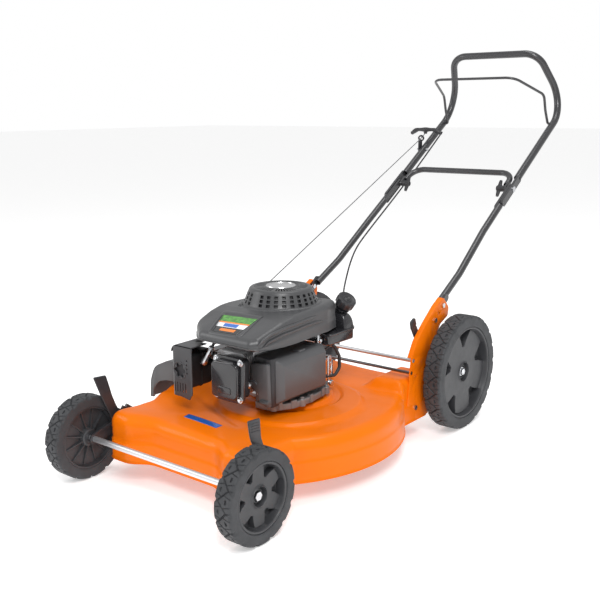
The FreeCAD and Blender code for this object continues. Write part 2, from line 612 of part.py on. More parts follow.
sheet = prism_xz(hood + offset_line(hood, -3.0)[::-1], 247, 497)
if sheet.BoundBox.XMin < -316.5 or sheet.BoundBox.ZMax > 233.5:
    sheet = prism_xz(hood + offset_line(hood, 3.0)[::-1], 247, 497)
cheek = prism_xz(hood + mouth, 247, 254)
cheek2 = cheek.copy()
cheek2.translate(V(0, 243, 0))
eyes = []
for y in (268, 462):
    eyes += [Part.makeCylinder(6.0, 14, V(HX, y, HZ), V(0, 1, 0)), box(HX - 4, HX + 4, y, y + 14, HZ, 231)]
flap = fuse([sheet, cheek, cheek2] + eyes).cut(Part.makeCylinder(3.15, 232, V(HX, 256, HZ), V(0, 1, 0)))
put("discharge_deflector", flap)
put("deflector_hinge_pin", Part.makeCylinder(3.0, 234, V(HX, 255, HZ), V(0, 1, 0)))
lug = box(HX - 6, HX + 6, 256, 264, 140, HZ + 6).cut(Part.makeCylinder(3.0, 20, V(HX, 250, HZ), V(0, 1, 0)))
lugs = [lug]
l2 = lugs[0].copy()
l2.translate(V(0, 224, 0))
fixlug = [l.cut(outer).cut(Part.makeCone(178, 160, 10, V(CX, CY, DECK_Z1 - 1))) for l in (lugs[0], l2)]
put("deck_shell", fuse([nodes["deck_shell"]] + [max(l.Solids, key=lambda q: q.Volume) for l in fixlug]))

# ---------------------------------------------------------------- starter rope and stop cable (soft)
ROPE_END = (GXC + 0.8, GY - 3.7, GZ - 1.4)
ROPE_START = (CX - 84.5, CY + 12.0, 405.0)
put("starter_rope", tube([ROPE_START, ROPE_END], [], 1.75))
CAB = [(-184.5, 1500.0, 768.0), (-184.5, 1345.0, 658.8), (-184.5, 1202.0, 566.7), (-181.5, 1040.0, 470.0), (-181.5, 985.0, 432.0),
       (-168.0, 935.0, 394.0), (-142.0, 880.0, 362.0), (-108.0, 822.0, 345.0), (-70.0, 764.0, 336.0),
       (-30.0, 706.0, 330.0), (8.0, 652.0, 322.0), (40.0, 604.0, 306.0), (62.0, 566.0, 280.0), (76.0, 524.0, 272.0),
       (86.0, 484.0, 268.0), (90.0, 456.0, 268.0)]


def auto_radii(pts):
    out = []
    for i in range(1, len(pts) - 1):
        a, b, c = V(*pts[i - 1]), V(*pts[i]), V(*pts[i + 1])
        ang = (b - a).getAngle(c - b)
        out.append(0.45 * min((b - a).Length, (c - b).Length) / math.tan(ang / 2))
    print("cable radii", [round(r) for r in out])
    return out


nodes_cable = tube(CAB, auto_radii(CAB), 2.5)
put("stop_cable", nodes_cable)

# ---------------------------------------------------------------- write out, origin at bottom centre
bb = FreeCAD.BoundBox()
for s in nodes.values():
    bb.add(s.optimalBoundingBox(False, False))
shift = V(-(bb.XMin + bb.XMax) / 2, -(bb.YMin + bb.YMax) / 2, 0)
print("box", [round(v, 2) for v in (bb.XMin, bb.XMax, bb.YMin, bb.YMax, bb.ZMin, bb.ZMax)])
print("SHIFT", round(shift.x, 3), round(shift.y, 3))
print("nodes", len(nodes))
for name, s in nodes.items():
    s.translate(shift)
    if not s.isValid():
        print("INVALID", name)
    if not s.Solids:
        print("NO SOLID", name)
    s.exportStep("parts/%s.step" % name)
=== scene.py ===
import math
import bpy
import bmesh
import numpy as np
from mathutils import Matrix, Vector


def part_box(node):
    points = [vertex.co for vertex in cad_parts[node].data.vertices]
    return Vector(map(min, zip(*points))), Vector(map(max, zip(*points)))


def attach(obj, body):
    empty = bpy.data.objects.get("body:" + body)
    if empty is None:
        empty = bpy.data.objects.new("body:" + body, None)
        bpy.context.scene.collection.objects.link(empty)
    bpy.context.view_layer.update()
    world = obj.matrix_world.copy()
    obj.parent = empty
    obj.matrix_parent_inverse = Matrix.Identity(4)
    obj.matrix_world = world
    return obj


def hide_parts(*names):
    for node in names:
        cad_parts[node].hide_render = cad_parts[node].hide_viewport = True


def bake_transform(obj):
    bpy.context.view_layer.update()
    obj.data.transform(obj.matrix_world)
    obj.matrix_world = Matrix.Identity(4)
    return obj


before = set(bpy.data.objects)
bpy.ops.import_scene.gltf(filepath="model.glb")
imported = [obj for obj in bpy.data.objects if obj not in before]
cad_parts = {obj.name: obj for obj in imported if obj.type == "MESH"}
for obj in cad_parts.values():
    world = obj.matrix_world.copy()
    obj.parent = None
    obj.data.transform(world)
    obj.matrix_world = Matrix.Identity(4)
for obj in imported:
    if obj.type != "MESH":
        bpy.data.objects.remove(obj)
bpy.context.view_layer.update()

# Design millimetres (X left, Y rearwards, Z up, zero under the front axle) to the row frame in metres.
_lo, _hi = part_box("crankshaft")
OX = (_lo[0] + _hi[0]) / 2 - 0.008
OY = (_lo[1] + _hi[1]) / 2 - 0.405
OFF = np.array([OX, OY, 0.0])
CX, CY = 8.0, 405.0
pi = math.pi


def W(p):
    return np.asarray(p, float) / 1000.0 + OFF


# ------------------------------------------------------------------ mesh helpers
COL = bpy.context.scene.collection


def finish_mesh(name, verts, faces, mat, smooth=35.0, merge=None):
    me = bpy.data.meshes.new(name)
    me.from_pydata([tuple(v) for v in W(verts)], [], [tuple(int(i) for i in f) for f in faces])
    ob = bpy.data.objects.new(name, me)
    COL.objects.link(ob)
    bm = bmesh.new()
    bm.from_mesh(me)
    if merge:
        bmesh.ops.remove_doubles(bm, verts=bm.verts, dist=merge / 1000.0)
    bmesh.ops.recalc_face_normals(bm, faces=bm.faces)
    sharpen(bm, smooth)
    bm.to_mesh(me)
    bm.free()
    if mat is not None:
        me.materials.append(mat)
    return ob


def sharpen(bm, angle):
    for f in bm.faces:
        f.smooth = True
    a = math.radians(angle)
    for e in bm.edges:
        if len(e.link_faces) == 2:
            e.smooth = e.calc_face_angle(0.0) < a


def resharpen(ob, angle=35.0):
    bm = bmesh.new()
    bm.from_mesh(ob.data)
    sharpen(bm, angle)
    bm.to_mesh(ob.data)
    bm.free()


def apply_mods(ob):
    dg = bpy.context.evaluated_depsgraph_get()
    me = bpy.data.meshes.new_from_object(ob.evaluated_get(dg))
    old = ob.data
    ob.modifiers.clear()
    ob.data = me
    me.name = old.name
    return ob


def bevel(ob, width, seg=3, angle=30.0, smooth=35.0):
    m = ob.modifiers.new("b", "BEVEL")
    m.width = width / 1000.0
    m.segments = seg
    m.limit_method = "ANGLE"
    m.angle_limit = math.radians(angle)
    m.harden_normals = False
    apply_mods(ob)
    resharpen(ob, smooth)
    return ob


def boolean(ob, cutter, op="DIFFERENCE", keep=False):
    m = ob.modifiers.new("c", "BOOLEAN")
    m.operation = op
    m.object = cutter
    m.solver = "EXACT"
    apply_mods(ob)
    if not keep:
        bpy.data.objects.remove(cutter, do_unlink=True)
    return ob


def join(name, obs):
    # real join of meshes, keeping each one's materials
    me = bpy.data.meshes.new(name)
    bm = bmesh.new()
    mats = []
    for o in obs:
        idx = []
        for m in o.data.materials:
            if m not in mats:
                mats.append(m)
            idx.append(mats.index(m))
        n0 = len(bm.faces)
        bm.from_mesh(o.data)
        bm.faces.ensure_lookup_table()
        for f in bm.faces[n0:]:
            f.material_index = idx[f.material_index] if f.material_index < len(idx) else 0
    bm.to_mesh(me)
    bm.free()
    for m in mats:
        me.materials.append(m)
    for o in obs:
        bpy.data.objects.remove(o, do_unlink=True)
    ob = bpy.data.objects.new(name, me)
    COL.objects.link(ob)
    return ob


def grid(name, P, mat, closed_u=False, closed_v=False, cap_v=False, smooth=35.0, merge=None):
    # P[u][v] -> quads
    P = np.asarray(P, float)
    nu, nv = P.shape[:2]
    faces = []
    for i in range(nu if closed_u else nu - 1):
        for j in range(nv if closed_v else nv - 1):
            a, b = i * nv + j, ((i + 1) % nu) * nv + j
            c, d = ((i + 1) % nu) * nv + (j + 1) % nv, i * nv + (j + 1) % nv
            faces.append((a, b, c, d))
    if cap_v:
        faces.append([i * nv for i in range(nu)])
        faces.append([i * nv + nv - 1 for i in range(nu)][::-1])
    return finish_mesh(name, P.reshape(-1, 3), faces, mat, smooth, merge)


def frame_of(d):
    d = np.asarray(d, float)
    d = d / np.linalg.norm(d)
    a = np.array([0, 0, 1.0]) if abs(d[2]) < 0.9 else np.array([1.0, 0, 0])
    u = np.cross(a, d)
    u /= np.linalg.norm(u)
    return u, np.cross(d, u), d


def lathe(name, prof, o, d, mat, n=64, smooth=32.0, closed=True):
    # prof: (radius, height along d) points of a closed section, or an open one that ends on the axis
    u, v, w = frame_of(d)
    o = np.asarray(o, float)
    P = []
    for k in range(n):
        a = 2 * pi * k / n
        e = u * math.cos(a) + v * math.sin(a)
        P.append([o + e * r + w * h for r, h in prof])
    return grid(name, P, mat, closed_u=True, closed_v=closed, smooth=smooth, merge=0.005)


def rounded(pts, radii, seg=6, closed=False):
    # polyline (2-D or 3-D) with its corners rounded
    pts = [np.asarray(p, float) for p in pts]
    n = len(pts)
    out = []
    rng = range(n) if closed else range(1, n - 1)
    if not closed:
        out.append(pts[0])
    for i in rng:
        a, b, c = pts[i - 1], pts[i], pts[(i + 1) % n]
        R = radii[i] if closed else radii[i - 1]
        l1, l2 = np.linalg.norm(b - a), np.linalg.norm(c - b)
        d1, d2 = (b - a) / l1, (c - b) / l2
        ang = math.acos(max(-1, min(1, float(d1 @ d2))))
        if ang < 1e-3 or R <= 0:
            out.append(b)
            continue
        t = R * math.tan(ang / 2)
        t = min(t, 0.49 * min(l1, l2)) if closed else t
        R = t / math.tan(ang / 2)
        nrm = d2 - d1 * (d1 @ d2)
        nrm /= np.linalg.norm(nrm)
        cc = b - d1 * t + nrm * R
        for k in range(seg + 1):
            th = ang * k / seg
            out.append(cc + (-nrm * math.cos(th) + d1 * math.sin(th)) * R)
    if not closed:
        out.append(pts[-1])
    return np.array(out)


def prism(name, pts, axis, a0, a1, mat, bev=0.0, seg=3, smooth=35.0, radii=None, rseg=5):
    # polygon pts in the plane across axis, extruded from a0 to a1
    if radii is not None:
        if not hasattr(radii, "__len__"):
            radii = [radii] * len(pts)
        pts = rounded(pts, radii, rseg, closed=True)
    n = len(pts)
    V = []
    for a in (a0, a1):
        for p in pts:
            if axis == "x":
                V.append((a, p[0], p[1]))
            elif axis == "y":
                V.append((p[0], a, p[1]))
            else:
                V.append((p[0], p[1], a))
    F = [list(range(n)), list(range(n, 2 * n))[::-1]]
    for i in range(n):
        j = (i + 1) % n
        F.append((i, j, n + j, n + i))
    ob = finish_mesh(name, V, F, mat, smooth)
    if bev:
        bevel(ob, bev, seg, smooth=smooth)
    return ob


def rbox(name, x0, x1, y0, y1, z0, z1, mat, bev=2.0, seg=3):
    return prism(name, [(x0, y0), (x1, y0), (x1, y1), (x0, y1)], "z", z0, z1, mat, bev, seg)


def sweep(name, pts, r, mat, n=20, cap=True, smooth=40.0, scale=None):
    # tube along a dense polyline, with parallel-transported sections
    pts = np.asarray(pts, float)
    T = np.gradient(pts, axis=0)
    T /= np.linalg.norm(T, axis=1)[:, None]
    u, v, _ = frame_of(T[0])
    P = []
    for i, p in enumerate(pts):
        u = u - T[i] * (u @ T[i])
        u /= np.linalg.norm(u)
        v = np.cross(T[i], u)
        rr = r if scale is None else r * scale[i]
        P.append([p + (u * math.cos(2 * pi * k / n) + v * math.sin(2 * pi * k / n)) * rr for k in range(n)])
    P = np.array(P)
    nv = n
    faces = []
    m = len(pts)
    for i in range(m - 1):
        for j in range(nv):
            faces.append((i * nv + j, i * nv + (j + 1) % nv, (i + 1) * nv + (j + 1) % nv, (i + 1) * nv + j))
    if cap:
        faces.append(list(range(nv))[::-1])
        faces.append([(m - 1) * nv + j for j in range(nv)])
    return finish_mesh(name, P.reshape(-1, 3), faces, mat, smooth)


def densify(pts, step=6.0):
    pts = np.asarray(pts, float)
    out = [pts[0]]
    for a, b in zip(pts[:-1], pts[1:]):
        k = max(1, int(np.linalg.norm(b - a) / step))
        for i in range(1, k + 1):
            out.append(a + (b - a) * i / k)
    return np.array(out)


def sstep(a, b, x):
    t = np.clip((np.asarray(x, float) - a) / (b - a), 0, 1)
    return t * t * (3 - 2 * t)


def mirror_x(ob, name):
    # a mirrored copy across the design plane X = 0
    me = ob.data.copy()
    o2 = bpy.data.objects.new(name, me)
    COL.objects.link(o2)
    n = len(me.vertices)
    co = np.empty(n * 3)
    me.vertices.foreach_get("co", co)
    co = co.reshape(-1, 3)
    co[:, 0] = 2 * OX - co[:, 0]
    me.vertices.foreach_set("co", co.ravel())
    me.flip_normals()
    me.update()
    return o2


def rot_z(ob, deg, c):
    R = Matrix.Rotation(math.radians(deg), 4, "Z")
    cc = Vector(W((c[0], c[1], 0)))
    ob.data.transform(Matrix.Translation(cc) @ R @ Matrix.Translation(-cc))
    return ob


# ------------------------------------------------------------------ materials
def mat_new(name):
    m = bpy.data.materials.new(name)
    m.use_nodes = True
    nt = m.node_tree
    b = nt.nodes["Principled BSDF"]
    return m, nt, b


def nd(nt, kind, **kw):
    n = nt.nodes.new(kind)
    for k, v in kw.items():
        setattr(n, k, v)
    return n


def noise(nt, scale, detail=3.0, rough=0.5, coord=None):
    if coord is None:
        coord = nd(nt, "ShaderNodeTexCoord").outputs["Object"]
    n = nd(nt, "ShaderNodeTexNoise")
    n.inputs["Scale"].default_value = scale
    n.inputs["Detail"].default_value = detail
    n.inputs["Roughness"].default_value = rough
    nt.links.new(coord, n.inputs["Vector"])
    return n


def ramp(nt, src, stops):
    r = nd(nt, "ShaderNodeValToRGB")
    el = r.color_ramp.elements
    while len(el) > len(stops):
        el.remove(el[-1])
    while len(el) < len(stops):
        el.new(0.5)
    for e, (p, c) in zip(el, stops):
        e.position = p
        e.color = (c[0], c[1], c[2], 1.0) if hasattr(c, "__len__") else (c, c, c, 1.0)
    nt.links.new(src, r.inputs["Fac"])
    return r


def bump(nt, b, height, strength, dist, prev=None):
    bp = nd(nt, "ShaderNodeBump")
    bp.inputs["Strength"].default_value = strength
    bp.inputs["Distance"].default_value = dist
    nt.links.new(height, bp.inputs["Height"])
    if prev is not None:
        nt.links.new(prev.outputs["Normal"], bp.inputs["Normal"])
    nt.links.new(bp.outputs["Normal"], b.inputs["Normal"])
    return bp


def plain(name, col, rough, var=0.12, metal=0.0, grain=900.0, gstr=0.08, gdist=0.0004, coat=0.0, coat_r=0.05,
          big=14.0, rvar=0.06, spec=0.5, col2=None):
    m, nt, b = mat_new(name)
    c = np.array(col)
    n1 = noise(nt, big, 5.0, 0.6)
    lo, hi = c * (1 - var), c * (1 + var)
    if col2 is not None:
        hi = np.array(col2)
    cr = ramp(nt, n1.outputs["Fac"], [(0.3, tuple(lo)), (0.7, tuple(np.clip(hi, 0, 1)))])
    nt.links.new(cr.outputs["Color"], b.inputs["Base Color"])
    n2 = noise(nt, big * 3.1, 4.0, 0.6)
    rr = ramp(nt, n2.outputs["Fac"], [(0.25, max(0.02, rough - rvar)), (0.75, min(1.0, rough + rvar))])
    nt.links.new(rr.outputs["Color"], b.inputs["Roughness"])
    if gstr > 0:
        n3 = noise(nt, grain, 2.0, 0.5)
        bump(nt, b, n3.outputs["Fac"], gstr, gdist)
    b.inputs["Metallic"].default_value = metal
    b.inputs["Specular IOR Level"].default_value = spec
    if coat:
        b.inputs["Coat Weight"].default_value = coat
        b.inputs["Coat Roughness"].default_value = coat_r
    return m


ORANGE = plain("deck_paint", (0.84, 0.168, 0.001), 0.36, var=0.03, grain=420.0, gstr=0.02, gdist=0.0004, coat=0.16,
               coat_r=0.05, big=7.0, rvar=0.05, spec=0.10)
TUBE = plain("tube_paint", (0.030, 0.030, 0.033), 0.30, var=0.12, grain=700.0, gstr=0.05, coat=0.35, coat_r=0.16)
BSTEEL = plain("black_steel", (0.032, 0.032, 0.036), 0.36, var=0.2, grain=800.0, gstr=0.08)
ZINC = plain("zinc_plate", (0.60, 0.61, 0.63), 0.26, var=0.10, metal=1.0, grain=900.0, gstr=0.05)
DSTEEL = plain("dark_steel", (0.20, 0.20, 0.21), 0.32, var=0.15, metal=1.0, grain=900.0, gstr=0.06)
RIM = plain("rim_plastic", (0.040, 0.041, 0.045), 0.42, var=0.14, grain=1300.0, gstr=0.12, big=22.0)
SHROUD = plain("shroud_plastic", (0.064, 0.065, 0.068), 0.36, var=0.08, grain=1500.0, gstr=0.16, gdist=0.0003, big=9.0)
FILTER = plain("filter_plastic", (0.084, 0.085, 0.089), 0.42, var=0.07, grain=1500.0, gstr=0.16, gdist=0.0003, big=9.0)
BPLAST = plain("black_plastic", (0.022, 0.022, 0.025), 0.42, var=0.18, grain=1200.0, gstr=0.14, big=20.0)
GLOSSB = plain("gloss_black", (0.020, 0.020, 0.023), 0.22, var=0.15, grain=900.0, gstr=0.05, coat=0.4, coat_r=0.1)
ALLOY = plain("cast_alloy", (0.52, 0.52, 0.53), 0.44, var=0.12, metal=1.0, grain=420.0, gstr=0.32, gdist=0.0005, big=30.0)
MALLOY = plain("machined_alloy", (0.72, 0.72, 0.73), 0.24, var=0.06, metal=1.0, grain=1200.0, gstr=0.06)
MUFF = plain("muffler_black", (0.050, 0.051, 0.055), 0.38, var=0.12, grain=900.0, gstr=0.14)
IRON = plain("cast_iron", (0.16, 0.16, 0.17), 0.46, var=0.2, metal=1.0, grain=500.0, gstr=0.25)
PAPER = plain("filter_paper", (0.74, 0.66, 0.46), 0.9, var=0.08, grain=300.0, gstr=0.3)
RUBBER = plain("boot_rubber", (0.030, 0.030, 0.032), 0.55, var=0.2, grain=900.0, gstr=0.12)
ROPEM = plain("starter_cord", (0.10, 0.10, 0.105), 0.7, var=0.4, grain=2400.0, gstr=0.5, gdist=0.0004, big=900.0)
CABLE = plain("cable_sheath", (0.020, 0.020, 0.022), 0.36, var=0.2, grain=900.0, gstr=0.05)


def brushed(name, col, rough, axis=0):
    # ground rod: fine streaks round the bar
    m, nt, b = mat_new(name)
    tc = nd(nt, "ShaderNodeTexCoord")
    mp = nd(nt, "ShaderNodeMapping")
    sc = [60.0, 60.0, 60.0]
    sc[axis] = 900.0
    mp.inputs["Scale"].default_value = sc
    nt.links.new(tc.outputs["Object"], mp.inputs["Vector"])
    n1 = noise(nt, 1.0, 3.0, 0.6, mp.outputs["Vector"])
    c = np.array(col)
    cr = ramp(nt, n1.outputs["Fac"], [(0.3, tuple(c * 0.92)), (0.7, tuple(np.clip(c * 1.05, 0, 1)))])
    nt.links.new(cr.outputs["Color"], b.inputs["Base Color"])
    rr = ramp(nt, n1.outputs["Fac"], [(0.2, rough - 0.06), (0.8, rough + 0.08)])
    nt.links.new(rr.outputs["Color"], b.inputs["Roughness"])
    bump(nt, b, n1.outputs["Fac"], 0.08, 0.0003)
    b.inputs["Metallic"].default_value = 1.0
    return m


AXLE = brushed("axle_steel", (0.78, 0.78, 0.80), 0.42, 0)


def tyre_mat():
    m, nt, b = mat_new("tyre_rubber")
    n1 = noise(nt, 16.0, 6.0, 0.65)
    cr = ramp(nt, n1.outputs["Fac"], [(0.28, (0.030, 0.031, 0.034)), (0.72, (0.052, 0.054, 0.059))])
    nt.links.new(cr.outputs["Color"], b.inputs["Base Color"])
    n2 = noise(nt, 60.0, 4.0, 0.6)
    rr = ramp(nt, n2.outputs["Fac"], [(0.25, 0.50), (0.75, 0.66)])
    nt.links.new(rr.outputs["Color"], b.inputs["Roughness"])
    n3 = noise(nt, 1400.0, 3.0, 0.6)
    bump(nt, b, n3.outputs["Fac"], 0.22, 0.0004)
    b.inputs["Specular IOR Level"].default_value = 0.42
    return m


TYRE = tyre_mat()

# ------------------------------------------------------------------ camera, floor, light
def to_row(p):
    return Vector(W(p))


cam_d = bpy.data.cameras.new("cam")
cam = bpy.data.objects.new("cam", cam_d)
COL.objects.link(cam)
_yaw, _pitch, _roll = math.radians(38.8336), math.radians(12.2856), math.radians(-0.5089)
_fw = Vector((-math.sin(_yaw) * math.cos(_pitch), math.cos(_yaw) * math.cos(_pitch), -math.sin(_pitch)))
_r = Vector((math.cos(_yaw), math.sin(_yaw), 0.0))
_u = _r.cross(_fw)
_r2 = _r * math.cos(_roll) + _u * math.sin(_roll)
_u2 = -_r * math.sin(_roll) + _u * math.cos(_roll)
_M = Matrix((_r2, _u2, -_fw)).transposed().to_4x4()
_M.translation = to_row((1367.86, -1217.62, 857.27))
cam.matrix_world = _M
cam_d.lens = 881.79 / 600.0 * 36.0
cam_d.sensor_width = 36.0
cam_d.shift_y = -0.0019
cam_d.clip_end = 60.0
bpy.context.scene.camera = cam

bpy.ops.mesh.primitive_plane_add(size=60.0, location=(0, 0, -0.0008))
floor = bpy.context.object
floor.name = "floor"
mf, nt, b = mat_new("floor")
b.inputs["Base Color"].default_value = (0.93, 0.93, 0.93, 1)
b.inputs["Roughness"].default_value = 0.9
b.inputs["Specular IOR Level"].default_value = 0.1
b.inputs["Emission Color"].default_value = (1, 1, 1, 1)
b.inputs["Emission Strength"].default_value = 0.36
floor.data.materials.append(mf)

world = bpy.data.worlds.new("w")
bpy.context.scene.world = world
world.use_nodes = True
bg = world.node_tree.nodes["Background"]
bg.inputs["Color"].default_value = (1.0, 1.0, 1.0, 1)
bg.inputs["Strength"].default_value = 0.62
_wt = world.node_tree
_lp = _wt.nodes.new("ShaderNodeLightPath")
_bg2 = _wt.nodes.new("ShaderNodeBackground")
_bg2.inputs["Color"].default_value = (1.0, 1.0, 1.0, 1)
_mx = _wt.nodes.new("ShaderNodeMixShader")
_wt.links.new(_lp.outputs["Is Camera Ray"], _mx.inputs[0])
_wt.links.new(bg.outputs[0], _mx.inputs[1])
_wt.links.new(_bg2.outputs[0], _mx.inputs[2])
_wt.links.new(_mx.outputs[0], _wt.nodes["World Output"].inputs["Surface"])


def area(name, loc, target, size, power, col=(1, 1, 1), size_y=None):
    d = bpy.data.lights.new(name, "AREA")
    d.energy = power
    d.size = size
    if size_y:
        d.shape = "RECTANGLE"
        d.size_y = size_y
    d.color = col
    o = bpy.data.objects.new(name, d)
    COL.objects.link(o)
    o.location = loc
    v = Vector(target) - Vector(loc)
    o.rotation_euler = v.to_track_quat("-Z", "Y").to_euler()
    return o


area("key", (1.9, -2.2, 3.0), (0, -0.2, 0.25), 1.0, 74.0, size_y=1.5)
area("fill", (-2.6, -2.2, 2.0), (0, -0.3, 0.2), 1.4, 22.0)
area("top", (0.2, 0.4, 3.4), (0, -0.1, 0.2), 1.5, 26.0)
bpy.context.scene.view_settings.view_transform = "Standard"


# ------------------------------------------------------------------ tyres
def tyre(name, body, X, Y, Z, R, Wd, rim_r, lugs):
    node = name
    half = Wd / 2.0
    nu = int(lugs * 44)
    # section from the inner bead round the outside to the outer bead: (w, r) with fine steps on the tread
    e = 5.5
    tread = np.linspace(-1, 1, 45)
    sec = [(-half + 3.0, rim_r + 0.2), (-half + 1.2, rim_r + 1.2), (-half + 0.5, rim_r + 4.0)]
    for t in np.linspace(0.0, 1.0, 7)[1:]:
        sec.append((-half + 0.5 - 0.5 * math.sin(pi * t) * 0 + 0.0, rim_r + 4 + (R - e - rim_r - 4) * t))
    n_side = len(sec)
    for a in np.linspace(0, pi / 2, 6)[1:]:
        sec.append((-half + 0.5 + (1 - math.cos(a)) * (e - 0.5), R - e + math.sin(a) * e))
    w0 = half - e
    mid = [(w, R) for w in np.linspace(-w0, w0, 39)[1:-1]]
    left = sec
    right = [(-w, r) for w, r in sec][::-1]
    sec = left + mid + right
    sec = np.array(sec)
    pitch = 2 * pi / lugs
    P = np.zeros((nu, len(sec), 3))
    ws = sec[:, 0] / half
    rs = sec[:, 1]
    # share of each section point that belongs to the tread (0 on the beads, 1 on the outer face)
    up = np.clip((rs - (R - 13.0)) / 9.0, 0, 1)
    for i in range(nu):
        th = 2 * pi * i / nu
        ph = (th / pitch) % 1.0
        # zig-zag groove with straight legs, broad blocks on both sides of it
        def zz(p):
            p = p % 1.0
            return 0.50 * (4 * abs(p - 0.5) - 1.0)
        arc = pitch * R
        dz = np.abs(ws - zz(ph)) * half / math.sqrt(1 + (0.50 * 4 * half / arc) ** 2)
        g = 1 - sstep(0.9, 2.1, dz)
        for s, p0 in ((1.0, 0.0), (-1.0, 0.5)):
            q = ((ph - p0 + 0.5) % 1.0 - 0.5) * arc
            on = (ws * s > zz(p0) * s - 0.02)
            slant = 3.0 * s * (ws * s - 0.5)
            g = np.maximum(g, (1 - sstep(0.9, 2.2, np.abs(q - slant))) * on)
            # wide gap between the lugs at the shoulder
            gap = 1.6 + 4.2 * sstep(0.72, 1.0, ws * s)
            g = np.maximum(g, 1.15 * (1 - sstep(gap, gap + 1.6, np.abs(q - slant))) * (ws * s > 0.70))
            # thin outline groove inside the block
            q2 = ((ph - p0 - 0.5 + 0.5) % 1.0 - 0.5) * arc
            dl = np.abs(np.abs(q2) - 0.30 * arc * (1 - 0.45 * ws * s))
            g = np.maximum(g, 0.55 * (1 - sstep(0.35, 1.1, dl)) * (ws * s > 0.18) * (ws * s < 0.9))
            # D-shaped pocket in the big block
            dd = np.hypot(q2 / 1.35, (ws * s - 0.36) * half * 0.95)
            g = np.maximum(g, 0.95 * (1 - sstep(2.9, 3.9, dd)) * (ws * s > 0.30))
        depth = 3.4 * g * up
        r = rs - depth
        P[i, :, 0] = X + sec[:, 0]
        P[i, :, 1] = Y + r * math.cos(th)
        P[i, :, 2] = Z + r * math.sin(th)
    ob = grid(name + "_tread", P, TYRE, closed_u=True, closed_v=True, smooth=38.0)
    return ob


def rim(name, X, Y, Z, R, Wd, rim_r, pockets):
    half = Wd / 2.0
    x1 = X + half
    x0 = X - half
    front = Wd < 48
    rr = rim_r
    # outer face depth below x1 as a function of radius and angle
    radii = np.concatenate([np.linspace(7.0, 9.5, 3), np.linspace(10, 17.5, 10), np.linspace(18.0, 27.5, 20),
                            np.linspace(28.2, rr - 12.6, 44 if front else 80), np.linspace(rr - 12, rr - 5.5, 12),
                            np.linspace(rr - 4.6, rr + 0.1, 6)])
    nu = 336 if front else 440
    P = np.zeros((nu, len(radii), 3))
    web = 13.0 if front else 14.0
    hub_r = 20.5 if front else 25.0
    po = rr - 10.5
    pi_ = rr - (34.0 if front else 54.0)
    for i in range(nu):
        th = 2 * pi * i / nu
        k = (th / (2 * pi) * pockets + (0.5 if front else 0.25)) % 1.0
        a = (k - 0.5) * 2 * pi / pockets            # angle from the pocket's middle
        r = radii
        d = np.full_like(r, web)
        # dished face, rising to the hub boss
        d = d + 1.6 * np.sin(np.clip((r - hub_r) / (po - hub_r), 0, 1) * pi)
        d = np.where(r < hub_r + 5, web - 3.0 * (1 - sstep(hub_r, hub_r + 4.5, r)), d)
        d = np.where(r < hub_r + 1.5, web - 3.0 + 11.5 * (1 - sstep(hub_r - 1.6, hub_r + 0.4, r)), d)
        d = np.where(r < hub_r - 4.5, web - 3.0 + 7.5 + 2.0 * sstep(hub_r - 6.5, hub_r - 5.0, r), d)
        d = np.where(r < hub_r - 8.5, web - 3.0 + 10.5, d)
        # barrel up to the lip
        d = np.where(r > po, (web) * (1 - sstep(po, rr - 4.8, r)) + 2.4, d)
        d = np.where(r > rr - 4.8, 2.2 + 1.2 * sstep(rr - 1.4, rr, r), d)
        # pockets: rounded triangles, wide outside
        wmax = 0.56 if front else 0.46
        t = np.clip((r - pi_) / (po - pi_), 0, 1)
        halfw = (wmax * (0.30 + 0.70 * t)) * (2 * pi / pockets) / 2 * 1.0
        edge = (halfw - abs(a)) * r                 # mm inside the pocket's side
        edge = np.minimum(edge, r - pi_)
        edge = np.minimum(edge, (rr - 6.2) - r)
        deep = 13.0 if front else 17.5
        m = sstep(0.0, 2.6, edge)
        d = d + (web + deep - d) * m * (r > hub_r + 4) * (edge > 0)
        P[i, :, 0] = x1 - d
        P[i, :, 1] = Y + r * math.cos(th)
        P[i, :, 2] = Z + r * math.sin(th)
    # inner side: hub tube, ribs and barrel, as a closed profile with ribs
    back = []
    bx = x0 + 3.0
    prof = [(rr + 0.1, x1 - 4.5), (rr + 0.1, bx), (rr - 3.4, bx), (rr - 6.0, x1 - web - 17.5), (23.5, x1 - web - 17.5),
            (20.0, bx + 2), (17.0, bx), (7.0, bx)]
    if not front:
        prof = [(rr + 0.1, x1 - 4.5), (rr + 0.1, bx), (rr - 3.4, bx), (rr - 6.0, x1 - web - 20.5),
                (27.5, x1 - web - 20.5), (24.0, bx + 2), (21.0, bx), (7.0, bx)]
    B = np.zeros((nu, len(prof), 3))
    for i in range(nu):
        th = 2 * pi * i / nu
        for j, (r, x) in enumerate(prof):
            B[i, j] = (x, Y + r * math.cos(th), Z + r * math.sin(th))
    full = np.concatenate([P, B], axis=1)
    ob = grid(name + "_rim_moulding", full, RIM, closed_u=True, closed_v=True, smooth=30.0)
    # radial ribs on the inner side
    ribs = []
    n = 12 if front else 15
    xb = x1 - web - (15.0 if front else 20.0)
    for k in range(n):
        a0 = 2 * pi * (k + 0.5) / n
        c, s = math.cos(a0), math.sin(a0)
        V = []
        for (r, xa) in ((18.0, bx + 3), (rr - 4.5, bx + 9)):
            for w in (-1.2, 1.2):
                for xx in (xa, xb + 1.0):
                    V.append((xx, Y + r * c - w * s, Z + r * s + w * c))
        F = [(0, 1, 3, 2), (4, 6, 7, 5), (0, 4, 5, 1), (2, 3, 7, 6), (0, 2, 6, 4), (1, 5, 7, 3)]
        ribs.append(finish_mesh("rib", V, F, RIM, 30))
    ob2 = join(name + "_rim_ribs", ribs)
    return ob, ob2


